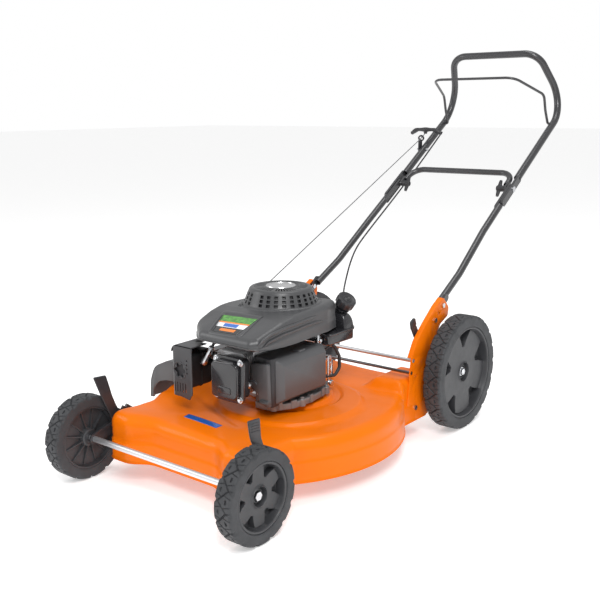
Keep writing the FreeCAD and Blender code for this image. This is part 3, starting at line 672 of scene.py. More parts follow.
WH = {"front": (269.5, 0.0, 100.0, 100.0, 45.0, 74.0, 6, 14), "rear": (266.7, 837.0, 154.5, 154.5, 50.0, 124.0, 5, 21)}
for ax in ("front", "rear"):
    X, Y, Z, R, Wd, rr, pk, lg = WH[ax]
    t = tyre("%s_left" % ax, None, X, Y, Z, R, Wd, rr, lg)
    r1, r2 = rim("%s_left" % ax, X, Y, Z, R, Wd, rr, pk)
    for side in ("left", "right"):
        nm = "%s_%s" % (ax, side)
        if side == "left":
            tt, ra, rb = t, r1, r2
        else:
            tt = mirror_x(t, nm + "_tread")
            ra = mirror_x(r1, nm + "_rim_moulding")
            rb = mirror_x(r2, nm + "_rim_ribs")
        for o, nn in ((tt, nm + "_tyre"), (ra, nm + "_rim")):
            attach(o, nm + "_wheel")
            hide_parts(nn)
        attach(rb, nm + "_wheel")

# ------------------------------------------------------------------ deck
def deck_outline():
    arc_c, arc_r = (-57.0, 397.0), 359.0
    a0 = math.asin((176 - arc_c[1]) / arc_r)
    a1 = math.asin((622 - arc_c[1]) / arc_r)
    arc = [(arc_c[0] + arc_r * math.cos(a), arc_c[1] + arc_r * math.sin(a)) for a in np.linspace(a0, a1, 60)]
    pts = [(-225, 30), (-150, 30), (-104, 60), (104, 60), (150, 30), (225, 30)]
    rad = [30, 44, 60, 60, 44, 30]
    pts += arc
    rad += [0] * len(arc)
    rad[6] = 60
    pts += [(222, 745), (-222, 745), (-222, 618), (-262, 570), (-262, 225), (-225, 165)]
    rad += [18, 18, 30, 50, 60, 50]
    rad[6] = 0
    return rounded(pts, rad, 8, closed=True)


def deck_top(x, y):
    # height of the pressed top before its shoulder is rounded off
    z = 147.0 + 9.0 * sstep(150, -120, x + 0.25 * (y - 400)) + 3.0 * sstep(260, 120, y)
    # soft swells over the two front wheel pods and the hollow between them
    z = z + 4.0 * sstep(120, 60, y) * sstep(110, 165, np.abs(x)) - 5.0 * sstep(150, 70, y) * sstep(120, 60, np.abs(x))
    # spiral valley that runs from the engine seat to the front
    d = y - (205.0 - 0.42 * (x + 20.0))
    z = z - 4.5 * np.exp(-(d / 15.0) ** 2) * sstep(-170, -110, x) * sstep(95, 40, x)
    # raised round platform that carries the engine, off centre like the volute below it
    r1 = np.hypot(x - 45, y - 380)
    z = z + 8.0 * sstep(190, 172, r1)
    r2 = np.hypot(x - CX, y - CY)
    z = z - 5.0 * sstep(150, 141, r2) + 9.0 * sstep(128, 119, r2)
    # corner platforms beside the side brackets
    cor = sstep(588, 622, y - 0.10 * (np.abs(x) - 222)) * sstep(112, 150, np.abs(x))
    z = z + (171.0 - z) * cor
    # discharge tunnel rising towards the side
    tun = sstep(-150, -215, x) * sstep(236, 275, y) * sstep(520, 480, y)
    z = z + (168.0 - z) * tun * (1 - cor)
    return z


def build_deck():
    out = deck_outline()
    c0 = np.array([0.0, 400.0])
    rel = out - c0
    ang = np.unwrap(np.arctan2(rel[:, 1], rel[:, 0]))
    if ang[-1] < ang[0]:
        out, rel, ang = out[::-1], rel[::-1], ang[::-1]
    rad = np.hypot(rel[:, 0], rel[:, 1])
    n = 760
    a = ang[0] + 2 * pi * np.arange(n) / n
    # keep the corners: place the angles where the outline's length is, not evenly in angle
    seg = np.hypot(*(np.roll(out, -1, 0) - out).T)
    cum = np.concatenate([[0], np.cumsum(seg)])
    L = cum[-1]
    s = np.arange(n) / n * L
    loop = np.vstack([out, out[:1]])
    bx = np.interp(s, cum, loop[:, 0])
    by = np.interp(s, cum, loop[:, 1])
    B = np.stack([bx, by], 1)
    # unit vector inwards, towards the crankshaft
    tgt = np.array([CX, CY])
    D = tgt - B
    R = np.hypot(D[:, 0], D[:, 1])
    D = D / R[:, None]
    ins = np.array([0, .7, 1.8, 3.2, 5, 7.2, 9.8, 13, 16.5, 20.5, 25, 30, 35.5, 42, 50, 60, 72, 84])
    m = 64
    inner = 47.0
    P = np.zeros((n, len(ins) + m, 2))
    for i in range(n):
        rr = R[i] - ins
        tail = np.linspace(rr[-1], inner, m + 1)[1:]
        rad_i = np.concatenate([rr, tail])
        P[i] = tgt - D[i] * rad_i[:, None]
    X, Y = P[..., 0], P[..., 1]
    # distance to the outline
    A = B
    Bn = np.roll(B, -1, 0)
    flat = np.stack([X.ravel(), Y.ravel()], 1)
    dist = np.full(len(flat), 1e9)
    for k in range(0, n, 1):
        p, q = A[k], Bn[k]
        d = q - p
        t = np.clip(((flat - p) @ d) / (d @ d), 0, 1)
        dd = np.hypot(flat[:, 0] - p[0] - t * d[0], flat[:, 1] - p[1] - t * d[1])
        dist = np.minimum(dist, dd)
    dist = dist.reshape(X.shape)
    F = 27.0
    F = np.where((np.abs(X) > 130) & (Y > 600), 17.0, F)
    zt = deck_top(X, Y)
    q = np.clip(F - dist, 0, None)
    Z = zt - (F - np.sqrt(np.clip(F * F - q * q, 0, None)))
    # wall below the shoulder, with the pressed step and the rolled rim
    zb = Z[:, 0]
    wall = []
    nrm = np.stack([(np.roll(by, -1) - np.roll(by, 1)), -(np.roll(bx, -1) - np.roll(bx, 1))], 1)
    nrm /= np.linalg.norm(nrm, axis=1)[:, None]
    out_dir = np.sign(np.einsum("ij,ij->i", nrm, B - tgt))[:, None] * nrm
    for f, z in [(0.0, 50.0), (0.0, 51.5), (0.0, 54), (0, 60), (0, 70), (0, 80), (0, 88), (0, 93), (0, 96.5), (0, 99.5), (0, 103),
                 (0, 108)]:
        wall.append(z)
    wz = np.array(wall)
    WL = np.zeros((n, len(wz) + 4, 3))
    for j, z in enumerate(wz):
        o = 2.6 * sstep(103.0, 96.0, z)
        if z <= 52:
            o = o + (1.6 if z < 51 else 2.4)
        p = B + out_dir * o
        WL[:, j, 0], WL[:, j, 1], WL[:, j, 2] = p[:, 0], p[:, 1], z
    for j in range(4):
        t = (j + 1) / 5.0
        WL[:, len(wz) + j, 0] = B[:, 0]
        WL[:, len(wz) + j, 1] = B[:, 1]
        WL[:, len(wz) + j, 2] = wz[-1] + (zb - wz[-1]) * t
    top = np.stack([X, Y, Z], 2)
    full = np.concatenate([WL, top], 1)
    # nothing reaches past the steel's limits on the wheel side
    ob = grid("deck_pressing", full, ORANGE, closed_u=True, smooth=50.0)
    # side discharge opening
    bm = bmesh.new()
    bm.from_mesh(ob.data)
    dead = []
    for f in bm.faces:
        c = f.calc_center_median()
        x, y, z = (c.x - OX) * 1000, (c.y - OY) * 1000, c.z * 1000
        if x < -255 and 266 < y < 488 and 61 < z < 136:
            dead.append(f)
    bmesh.ops.delete(bm, geom=dead, context="FACES")
    bm.normal_update()
    bm.to_mesh(ob.data)
    bm.free()
    # outward normals, then the sheet's thickness inwards
    me = ob.data
    v = me.polygons[len(me.polygons) // 2]
    up = sum(p.normal.z * p.area for p in me.polygons)
    if up < 0:
        me.flip_normals()
    m = ob.modifiers.new("s", "SOLIDIFY")
    m.thickness = 0.0024
    m.offset = -1.0
    apply_mods(ob)
    resharpen(ob, 50.0)
    return ob


deck = build_deck()
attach(deck, "chassis")
# welded lugs that hold the deflector's pin
lugs = []
for y0 in (256.0, 480.0):
    lg_ = prism("lug", [(-237, 153), (-229, 186), (-226, 191.5), (-218, 191.5), (-215, 186), (-207, 153)], "y", y0, y0 + 8, ORANGE, 0.0,
                radii=[2, 4, 5, 5, 4, 2])
    lg_ = boolean(lg_, lathe("h", [(0.01, 0), (3.0, 0), (3.0, 14), (0.01, 14)], (-222, y0 - 3, 186), (0, 1, 0), ORANGE, 32))
    bevel(lg_, 0.7, 2, 40, 40)
    lugs.append(lg_)
lug = join("deck_lugs", lugs)
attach(lug, "chassis")
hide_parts("deck_shell")

# plain blue nameplate, no letters
def top_surf(x, y):
    return deck_top(np.asarray(x, float), np.asarray(y, float))


def sticker():
    n, m_ = 40, 10
    A, B_, C, D_ = [np.array(v, float) for v in ((-60, 122), (-62, 141), (48, 139), (46, 120))]
    P = []
    for i in range(n + 1):
        u = i / n
        row = []
        for j in range(m_ + 1):
            v = j / m_
            p = (A * (1 - v) + B_ * v) * (1 - u) + (D_ * (1 - v) + C * v) * u
            row.append((p[0], p[1], float(top_surf(p[0], p[1])) + 0.5))
        P.append(row)
    ob = grid("name_band", P, BLUEB, smooth=50)
    if sum(p.normal.z for p in ob.data.polygons) < 0:
        ob.data.flip_normals()
    md = ob.modifiers.new("s", "SOLIDIFY")
    md.thickness = 0.0007
    md.offset = -1.0
    apply_mods(ob)
    return ob


BLUEB = plain("blue_band", (0.010, 0.10, 0.42), 0.3, var=0.06, grain=1500.0, gstr=0.03, coat=0.5, big=30.0)
stk = sticker()
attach(stk, "chassis")

# ------------------------------------------------------------------ blower shroud
def shell(name, outline, ztop, zbot, F, mat, center, thick=0.0024, n=520, m=46, inner=2.0, smooth=45.0, drop=None, lip=None):
    # sheet or moulded cover: a polar grid of the plan, its shoulder rounded with radius F, walls down to zbot
    c = np.array(center, float)
    out = np.array(outline, float)
    seg = np.hypot(*(np.roll(out, -1, 0) - out).T)
    cum = np.concatenate([[0], np.cumsum(seg)])
    s = np.arange(n) / n * cum[-1]
    loop = np.vstack([out, out[:1]])
    B = np.stack([np.interp(s, cum, loop[:, 0]), np.interp(s, cum, loop[:, 1])], 1)
    D = c - B
    R = np.hypot(D[:, 0], D[:, 1])
    D = D / R[:, None]
    ins = np.array([0, .25, .7, 1.4, 2.4, 3.8, 5.4, 7.4, 9.8, 12.6, 16, 20])
    P = np.zeros((n, len(ins) + m, 2))
    for i in range(n):
        rr = R[i] - ins
        tail = np.linspace(rr[-1], inner, m + 1)[1:]
        P[i] = c - D[i] * np.concatenate([rr, tail])[:, None]
    X, Y = P[..., 0], P[..., 1]
    flat = np.stack([X.ravel(), Y.ravel()], 1)
    dist = np.full(len(flat), 1e9)
    Bn = np.roll(B, -1, 0)
    for k in range(n):
        p, d = B[k], Bn[k] - B[k]
        t = np.clip(((flat - p) @ d) / (d @ d), 0, 1)
        dist = np.minimum(dist, np.hypot(flat[:, 0] - p[0] - t * d[0], flat[:, 1] - p[1] - t * d[1]))
    dist = dist.reshape(X.shape)
    q = np.clip(F - dist, 0, None)
    Z = ztop(X, Y) - (F - np.sqrt(np.clip(F * F - q * q, 0, None)))
    nrm = np.stack([np.roll(B[:, 1], -1) - np.roll(B[:, 1], 1), -(np.roll(B[:, 0], -1) - np.roll(B[:, 0], 1))], 1)
    nrm /= np.linalg.norm(nrm, axis=1)[:, None]
    nrm = np.sign(np.einsum("ij,ij->i", nrm, B - c))[:, None] * nrm
    nw = 14
    WL = np.zeros((n, nw, 3))
    zb = zbot(B[:, 0], B[:, 1])
    zt = Z[:, 0]
    for j in range(nw):
        t = j / nw
        o = 0.0 if lip is None else lip(t)
        WL[:, j, 0] = B[:, 0] + nrm[:, 0] * o
        WL[:, j, 1] = B[:, 1] + nrm[:, 1] * o
        WL[:, j, 2] = zb + (zt - zb) * t
    full = np.concatenate([WL, np.stack([X, Y, Z], 2)], 1)
    ob = grid(name, full, mat, closed_u=True, smooth=smooth)
    if drop is not None:
        bm = bmesh.new()
        bm.from_mesh(ob.data)
        dead = []
        for f in bm.faces:
            cc = f.calc_center_median()
            if drop((cc.x - OX) * 1000, (cc.y - OY) * 1000, cc.z * 1000):
                dead.append(f)
        bmesh.ops.delete(bm, geom=dead, context="FACES")
        bm.to_mesh(ob.data)
        bm.free()
    me = ob.data
    if sum(p.normal.z * p.area for p in me.polygons) < 0:
        me.flip_normals()
    md = ob.modifiers.new("s", "SOLIDIFY")
    md.thickness = thick
    md.offset = -1.0
    apply_mods(ob)
    resharpen(ob, smooth)
    return ob


RCX, RCY = 4.0, 402.0
SH_PLAN = rounded([(-40, 159), (112, 159), (130, 176), (131, 300), (118, 440), (98, 506), (-84, 506), (-104, 470),
                   (-114, 320), (-101, 214)], [26, 12, 12, 160, 60, 22, 30, 60, 120, 40], 10, closed=True)


def sh_top(x, y):
    x, y = np.asarray(x, float), np.asarray(y, float)
    z = np.interp(y, [150, 176, 215, 262, 300, 340, 520], [355.5, 360.5, 370.5, 382.0, 387.0, 388.5, 389.5])
    # the panel behind the label is a shallow sunk field with a raised frame
    z = z - 5.0 * sstep(300, 170, y) * sstep(-40, -100, x)
    z = z + 1.6 * sstep(40, 90, x) * sstep(230, 330, y)
    # ring seat of the recoil cover
    r = np.hypot(x - RCX, y - RCY)
    z = z + 2.6 * sstep(101, 97.5, r)
    # hollows in front of the recoil cover
    for hx, hy in ((-58, 330), (-50, 318), (66, 470)):
        z = z - 5.0 * sstep(9.0, 5.5, np.hypot(x - hx, y - hy))
    return z


def sh_bot(x, y):
    z = np.interp(y, [158, 170, 215, 260, 420, 508], [338, 337, 330, 327, 325, 322])
    return z + 3.0 * sstep(90, 60, np.abs(x - 40)) * sstep(175, 160, y)


def lipf(t):
    return 1.8 * float(sstep(0.55, 0.42, t)) + 0.8 * float(sstep(0.12, 0.0, t))


shroud = shell("shroud_body", SH_PLAN, sh_top, sh_bot, 15.0, SHROUD, (4, 330), 0.0026, 640, 60, 2.0, 40.0,
               lip=lipf, drop=lambda x, y, z: z > 380 and math.hypot(x - RCX, y - RCY) < 84)
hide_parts("blower_shroud")

extra = []


def sh_surf(x, y):
    # the panel with its rounded front shoulder
    q = min(15.0, max(0.0, 15.0 - (float(y) - 159.5)))
    return float(sh_top(x, y)) - (15.0 - math.sqrt(max(0.0, 225.0 - q * q)))


# raised frame round the label
FR = [(-64, 270), (56, 281), (82, 167.5), (-16, 164)]
FRI = [(-49, 253), (59, 262), (67, 174.5), (-13, 171)]
ringp = rounded([np.array(p, float) for p in FR], [10, 8, 12, 12], 8, closed=True)
ringi = rounded([np.array(p, float) for p in FRI], [8, 6, 9, 9], 8, closed=True)


def resample(loop, n):
    loop = np.vstack([loop, loop[:1]])
    s = np.concatenate([[0], np.cumsum(np.hypot(*np.diff(loop, axis=0).T))])
    q = np.arange(n) / n * s[-1]
    return np.stack([np.interp(q, s, loop[:, 0]), np.interp(q, s, loop[:, 1])], 1)


ro, ri = resample(ringp, 160), resample(ringi, 160)
j0 = int(np.argmin(np.hypot(*(ri - ro[0]).T)))
ri = np.roll(ri, -j0, 0)
G = []
for a, b in zip(ro, ri):
    row = []
    for t, h in ((0.0, -1.6), (0.0, 0.4), (0.10, 1.5), (0.28, 2.2), (0.72, 2.2), (0.90, 1.5), (1.0, 0.2), (1.0, -1.6)):
        p = a + (b - a) * t
        row.append((p[0], p[1], sh_surf(p[0], p[1]) + h))
    G.append(row)
fr = grid("label_frame", G, SHROUD, closed_u=True, closed_v=True, smooth=50)
extra.append(fr)

# two pressed ribs that sweep along the left wall
for nm, pts, w in (("rib_a", [(170, 347), (185, 356), (212, 364.5), (275, 370.5), (330, 372), (388, 373)], 3.4),
                   ("rib_b", [(188, 341), (206, 349), (257, 356), (329, 358.5), (384, 358), (420, 355)], 3.2)):
    sp = rounded([np.array(p, float) for p in pts], [40] * (len(pts) - 2), 6)
    sp = densify(sp, 4.0)
    Q = []
    for i, (y, z) in enumerate(sp):
        # wall position at this y
        k = np.interp(y, [176, 300, 440, 506], [130.3, 130.8, 117.5, 98.0])
        Q.append((k + 1.5, y, z))
    t = np.linspace(0, 1, len(Q))
    sc = np.minimum(1.0, np.minimum(t, 1 - t) * 9 + 0.25)
    extra.append(sweep(nm, Q, w, SHROUD, 16, True, 60, scale=sc))
ribs = join("shroud_ribs", extra)
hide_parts("blower_shroud")


# generic two-tone decal: bands only, no letters
def decal_mat(name, col, rough=0.35):
    return plain(name, col, rough, var=0.04, grain=1600.0, gstr=0.03, coat=0.6, coat_r=0.08, big=40.0)


D_GREEN = plain("decal_green", (0.030, 0.20, 0.020), 0.35, var=0.5, grain=1500.0, gstr=0.03, coat=0.6, big=110.0,
                col2=(0.10, 0.42, 0.035))
D_ORANGE = decal_mat("decal_orange", (0.85, 0.22, 0.01))
D_WHITE = decal_mat("decal_white", (0.85, 0.86, 0.88))
D_BLUE = decal_mat("decal_blue", (0.010, 0.13, 0.55))
D_BLACK = decal_mat("decal_black", (0.012, 0.012, 0.013))


def patch(name, quad, u0, u1, v0, v1, mat, dz, surf, n=14, thick=0.35, edge=None):
    # a thin panel on a surface: quad corners A B C D, u along A-B, v from A to D
    A, B_, C, D_ = [np.array(p, float) for p in quad]
    P = []
    for i in range(n + 1):
        u = u0 + (u1 - u0) * i / n
        row = []
        for j in range(n + 1):
            vv = v0 + (v1 - v0) * j / n
            p = (A * (1 - u) + B_ * u) * (1 - vv) + (D_ * (1 - u) + C * u) * vv
            row.append((p[0], p[1], float(surf(p[0], p[1])) + dz))
        P.append(row)
    ob = grid(name, P, mat, smooth=50)
    if sum(p.normal.z for p in ob.data.polygons) < 0:
        ob.data.flip_normals()
    md = ob.modifiers.new("s", "SOLIDIFY")
    md.thickness = thick / 1000.0
    md.offset = -1.0
    apply_mods(ob)
    return ob


LQ = [(-44, 248), (56, 256), (62, 177), (-9, 173)]
bands = [patch("d1", LQ, 0, 1, 0.0, 0.36, D_GREEN, 0.55, sh_surf), patch("d2", LQ, 0, 1, 0.36, 0.44, D_ORANGE, 0.55, sh_surf),
         patch("d3", LQ, 0, 1, 0.44, 0.68, D_WHITE, 0.55, sh_surf), patch("d4", LQ, 0.24, 0.72, 0.47, 0.65, D_BLUE, 0.8, sh_surf),
         patch("d5", LQ, 0, 1, 0.68, 1.0, D_BLACK, 0.55, sh_surf), patch("d6", LQ, 0.22, 0.80, 0.76, 0.90, D_ORANGE, 0.7, sh_surf)]
decal = join("generic_label", bands)
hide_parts("blower_shroud")
shroud_set = [shroud, ribs, decal]


# ------------------------------------------------------------------ recoil cover and disc
def recoil():
    n = 28
    sub = 8
    nu = n * sub
    prof = [(95.0, 388.6), (92.5, 391.0), (91.0, 393.4), (88.2, 400.0), (87.0, 403.0), (84.2, 409.8), (83.0, 412.8),
            (80.2, 419.6), (78.6, 423.6), (77.0, 426.6), (74.0, 428.8), (70.0, 429.6), (66.0, 429.9), (52.0, 430.2),
            (40.0, 430.2), (36.5, 430.0), (34.5, 428.4), (2.0, 428.0)]
    P = []
    for i in range(nu):
        a = 2 * pi * i / nu
        P.append([(RCX + r * math.cos(a), RCY + r * math.sin(a), z) for r, z in prof])
    P = np.array(P)
    nv = len(prof)
    faces = []
    for i in range(nu):
        k, s = i // sub, i % sub
        solid = k in (20, 13, 6)
        for j in range(nv - 1):
            hole = j in (2, 4, 6) and 2 <= s <= 5 and not solid
            slot = j in (12, 13) and (s in (1, 2, 5, 6)) and (i // 4) % 9 != 0
            if hole or slot:
                continue
            a, b = i * nv + j, ((i + 1) % nu) * nv + j
            faces.append((a, b, b + 1, a + 1))
    ob = finish_mesh("recoil_cone", P.reshape(-1, 3), faces, SHROUD, 40)
    if sum(p.normal.z * p.area for p in ob.data.polygons) < 0:
        ob.data.flip_normals()
    md = ob.modifiers.new("s", "SOLIDIFY")
    md.thickness = 0.0026
    md.offset = -1.0
    apply_mods(ob)
    bevel(ob, 0.35, 1, 40, 40)
    return ob


rc = recoil()
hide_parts("recoil_cover")
# dark screen behind the holes
scr = lathe("recoil_screen", [(86, 389), (80, 405), (74, 420), (60, 424.5), (20, 424.6), (20, 422.6), (60, 422.4),
                              (72, 418), (78, 404), (84, 389)], (RCX, RCY, 0), (0, 0, 1), BPLAST, 72)
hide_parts("recoil_cover")
cap = lathe("recoil_disc", [(0.01, 431.6), (18, 431.9), (30, 431.2), (32.8, 430.9), (33.6, 432.4), (35.6, 432.4), (36.6, 430.6),
                            (36.0, 428.6), (0.01, 428.4)], (RCX, RCY, 0), (0, 0, 1), MALLOY, 96, smooth=25)
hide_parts("recoil_cap")
for o in [shroud, ribs, decal, rc, scr, cap]:
    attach(o, "chassis")

# ------------------------------------------------------------------ valve cover
vs = []
fl = prism("vc_flange", [(-6, 203), (86, 203), (88, 309), (-4, 309)], "y", 168.5, 177.0, GLOSSB, 1.6, 3, radii=[14, 14, 14, 14])
vs.append(prism("vc_waist", [(0, 209), (74, 209), (76, 302), (2, 302)], "y", 176.0, 205.0, BPLAST, 2.0, 3, radii=12))
# step: flange plate and the cover's waist
vs.append(fl)
blk = prism("vc_block", [(-3, 212), (76, 212), (78, 292), (62, 300), (4, 297), (-3, 288)], "y", 157.5, 170.0, GLOSSB, 4.5, 4,
            radii=[8, 14, 12, 8, 8, 6])
vs.append(blk)
for k in range(3):
    z = 300.5 - 0.0
    vs.append(prism("vc_rib", [(14, 158.5 + 5.0 * k), (66, 158.5 + 5.0 * k), (66, 161.0 + 5.0 * k), (14, 161.0 + 5.0 * k)], "z",
                    296.0, 302.5 - 0.6 * k, GLOSSB, 0.8, 2))
vs.append(prism("vc_vent", [(20, 224), (58, 224), (58, 240), (20, 240)], "y", 155.6, 160, GLOSSB, 1.5, 3, radii=3))
vc = join("valve_cover_casting", vs)
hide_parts("valve_cover")
bl = []
for (x, z) in ((5.5, 299.5), (79.5, 300.0), (4.0, 214.0), (77.0, 213.5)):
    bl.append(lathe("vb", [(0.01, 0.0), (5.0, 0.0), (5.0, 4.2), (4.2, 5.2), (0.01, 5.2)], (x, 168.6, z), (0, -1, 0), ZINC, 6, 20))
    bl.append(lathe("vbw", [(0.01, 0.0), (8.0, 0.0), (8.0, 1.0), (7.0, 1.8), (0.01, 1.8)], (x, 168.9, z), (0, -1, 0), ZINC, 32, 30))
vb = join("valve_cover_screws", bl)
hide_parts("valve_cover_bolts")

# ------------------------------------------------------------------ head, cylinder and crankcase
hp = []
for k in range(5):
    y = 208.0 + 6.4 * k
    hp.append(prism("fin", [(-30, 210), (60, 210), (60, 308), (-30, 308)], "y", y, y + 2.6, ALLOY, 0.7, 2, radii=[10, 10, 12, 12]))
hp.append(prism("head_core", [(-20, 216), (54, 216), (54, 298), (-20, 298)], "y", 204.0, 238.0, ALLOY, 2.0, 2, radii=8))
head = join("head_casting", hp)
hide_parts("cylinder_head")

cp = []
# base flange with a rolled edge, bosses and ribs
cp.append(lathe("cc_flange", [(12.9, 166), (96, 166), (97.5, 168), (97.5, 176), (95, 178.5), (74, 180), (70, 184), (62, 206), (53, 214),
                              (51.5, 222), (51.5, 300), (48, 309), (34, 311), (12.9, 311)], (CX, CY, 0), (0, 0, 1), ALLOY, 120, 30))
for k in range(16):
    a = 2 * pi * (k + 0.5) / 16
    V = []
    for w in (-1.7, 1.7):
        for r, z in ((50, 178), (93, 178), (90, 184), (60, 214), (50, 222)):
            V.append((CX + r * math.cos(a) - w * math.sin(a), CY + r * math.sin(a) + w * math.cos(a), z))
    F = [(0, 1, 2, 3, 4), (9, 8, 7, 6, 5), (0, 5, 6, 1), (1, 6, 7, 2), (2, 7, 8, 3), (3, 8, 9, 4), (4, 9, 5, 0)]
    rb = finish_mesh("cc_rib", V, F, ALLOY, 30)
    bevel(rb, 0.7, 1)
    cp.append(rb)
for k in range(6):
    a = 2 * pi * (k + 0.15) / 6
    cp.append(lathe("cc_boss", [(4.2, 0), (9.5, 0), (9.0, 12), (7.8, 13.2), (4.2, 13.2)], (CX + 86 * math.cos(a), CY + 86 * math.sin(a), 166),
                    (0, 0, 1), ALLOY, 28, 30))
    cp.append(lathe("cc_screw", [(0.01, 0), (6.0, 0), (6.0, 4.4), (5.0, 5.4), (0.01, 5.4)], (CX + 86 * math.cos(a), CY + 86 * math.sin(a), 179.2),
                    (0, 0, 1), ZINC, 6, 20))
# darker, duller copy of the cast alloy for the sump under the filter box: the extra darkness is painted shade
SUMP = plain("cast_alloy_painted_shade", (0.24, 0.235, 0.235), 0.52, var=0.16, metal=0.6, grain=420.0, gstr=0.32, gdist=0.0005, big=30.0)
sump = [(48, 250), (90, 252), (110, 270), (126, 300), (131, 360), (124, 415), (100, 462), (60, 488), (30, 480), (30, 300)]
cp.append(prism("sump_flange", sump, "z", 167, 183, SUMP, 2.0, 3, radii=[6, 14, 16, 30, 40, 40, 20, 14, 6, 6]))
sp_ = rounded([np.array(v, float) for v in sump[1:8]], [16, 30, 40, 40, 20], 6)
sp_ = densify(sp_, 24.0)
for i in range(1, len(sp_) - 1):
    t_ = sp_[i + 1] - sp_[i - 1]
    t_ = t_ / np.hypot(*t_)
    n_ = np.array([t_[1], -t_[0]])
    c_ = sp_[i] - n_ * 2.0
    a_ = [c_ + t_ * 1.6 + n_ * 4.2, c_ - t_ * 1.6 + n_ * 4.2, c_ - t_ * 1.6 - n_ * 9, c_ + t_ * 1.6 - n_ * 9]
    cp.append(prism("sump_rib", [tuple(v) for v in a_], "z", 168.5, 188.0, SUMP, 0.8, 1))
for x_, y_ in ((98, 262), (128, 330), (116, 440)):
    cp.append(lathe("sump_boss", [(0.01, 0), (9, 0), (9, 16), (8, 17.5), (5.5, 17.5), (5.5, 21), (4.8, 21.8), (0.01, 21.8)], (x_ - 3, y_, 167), (0, 0, 1), SUMP, 28))
blk = rbox("cc_block", -27, 57, 238, 372, 214, 308, ALLOY, 3.0)
bore = lathe("bore", [(0.01, 0), (32.6, 0), (32.6, 122), (0.01, 122)], (20, 240, 262), (0, 1, 0), ALLOY, 48)
blk = boolean(blk, bore)
cav = lathe("cav", [(0.01, 0), (46, 0), (46, 98), (0.01, 98)], (CX, CY, 200), (0, 0, 1), ALLOY, 48)
blk = boolean(blk, cav)
cp.append(blk)
for k in range(8):
    z = 220.0 + 11.0 * k
    cp.append(prism("cyl_fin", [(-31, 240), (59, 240), (59, 330), (-31, 330)], "z", z, z + 2.4, ALLOY, 0.6, 1, radii=5))
fin_cut = lathe("bore2", [(0.01, 0), (32.6, 0), (32.6, 122), (0.01, 122)], (20, 236, 262), (0, 1, 0), ALLOY, 48)
body_cc = cp
cc = join("crankcase_casting", cp)
bpy.data.objects.remove(fin_cut, do_unlink=True)
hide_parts("crankcase")
for o, sl in ((vc, "gloss_black"), (vb, "zinc_steel"), (head, "cast_alloy"), (cc, "cast_alloy")):
    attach(o, "chassis")

# ------------------------------------------------------------------ muffler and its guard
# near-black can: its dark paint is darkened further with painted shade, for the shadow inside the guard
MUFFLER_PAINTED_SHADE = plain("muffler_can_painted_shade", (0.012, 0.012, 0.013), 0.55, var=0.25, grain=900.0, gstr=0.14)
mf_ = []
mf_.append(prism("mf_body", [(-119, 208), (-79, 208), (-79, 294), (-119, 294)], "y", 172, 240, MUFFLER_PAINTED_SHADE, 5.0, 4, radii=9))
mf_.append(prism("mf_seam", [(-121, 206.5), (-77, 206.5), (-77, 295.5), (-121, 295.5)], "y", 203.5, 207.0, MUFFLER_PAINTED_SHADE, 0.8, 2, radii=10))
mf_.append(sweep("mf_pipe", densify([(-80, 230, 262), (-31, 230, 262)], 5), 9, MUFFLER_PAINTED_SHADE, 28))
mf_.append(prism("mf_flange", [(-40, 246), (-40, 278), (-40, 262)][:0] or [(214, 246), (246, 246), (246, 274), (214, 274)], "x",
                 -36, -30.6, MUFFLER_PAINTED_SHADE, 1.0, 2, radii=7))
muff = join("muffler_can", mf_)
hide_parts("muffler")


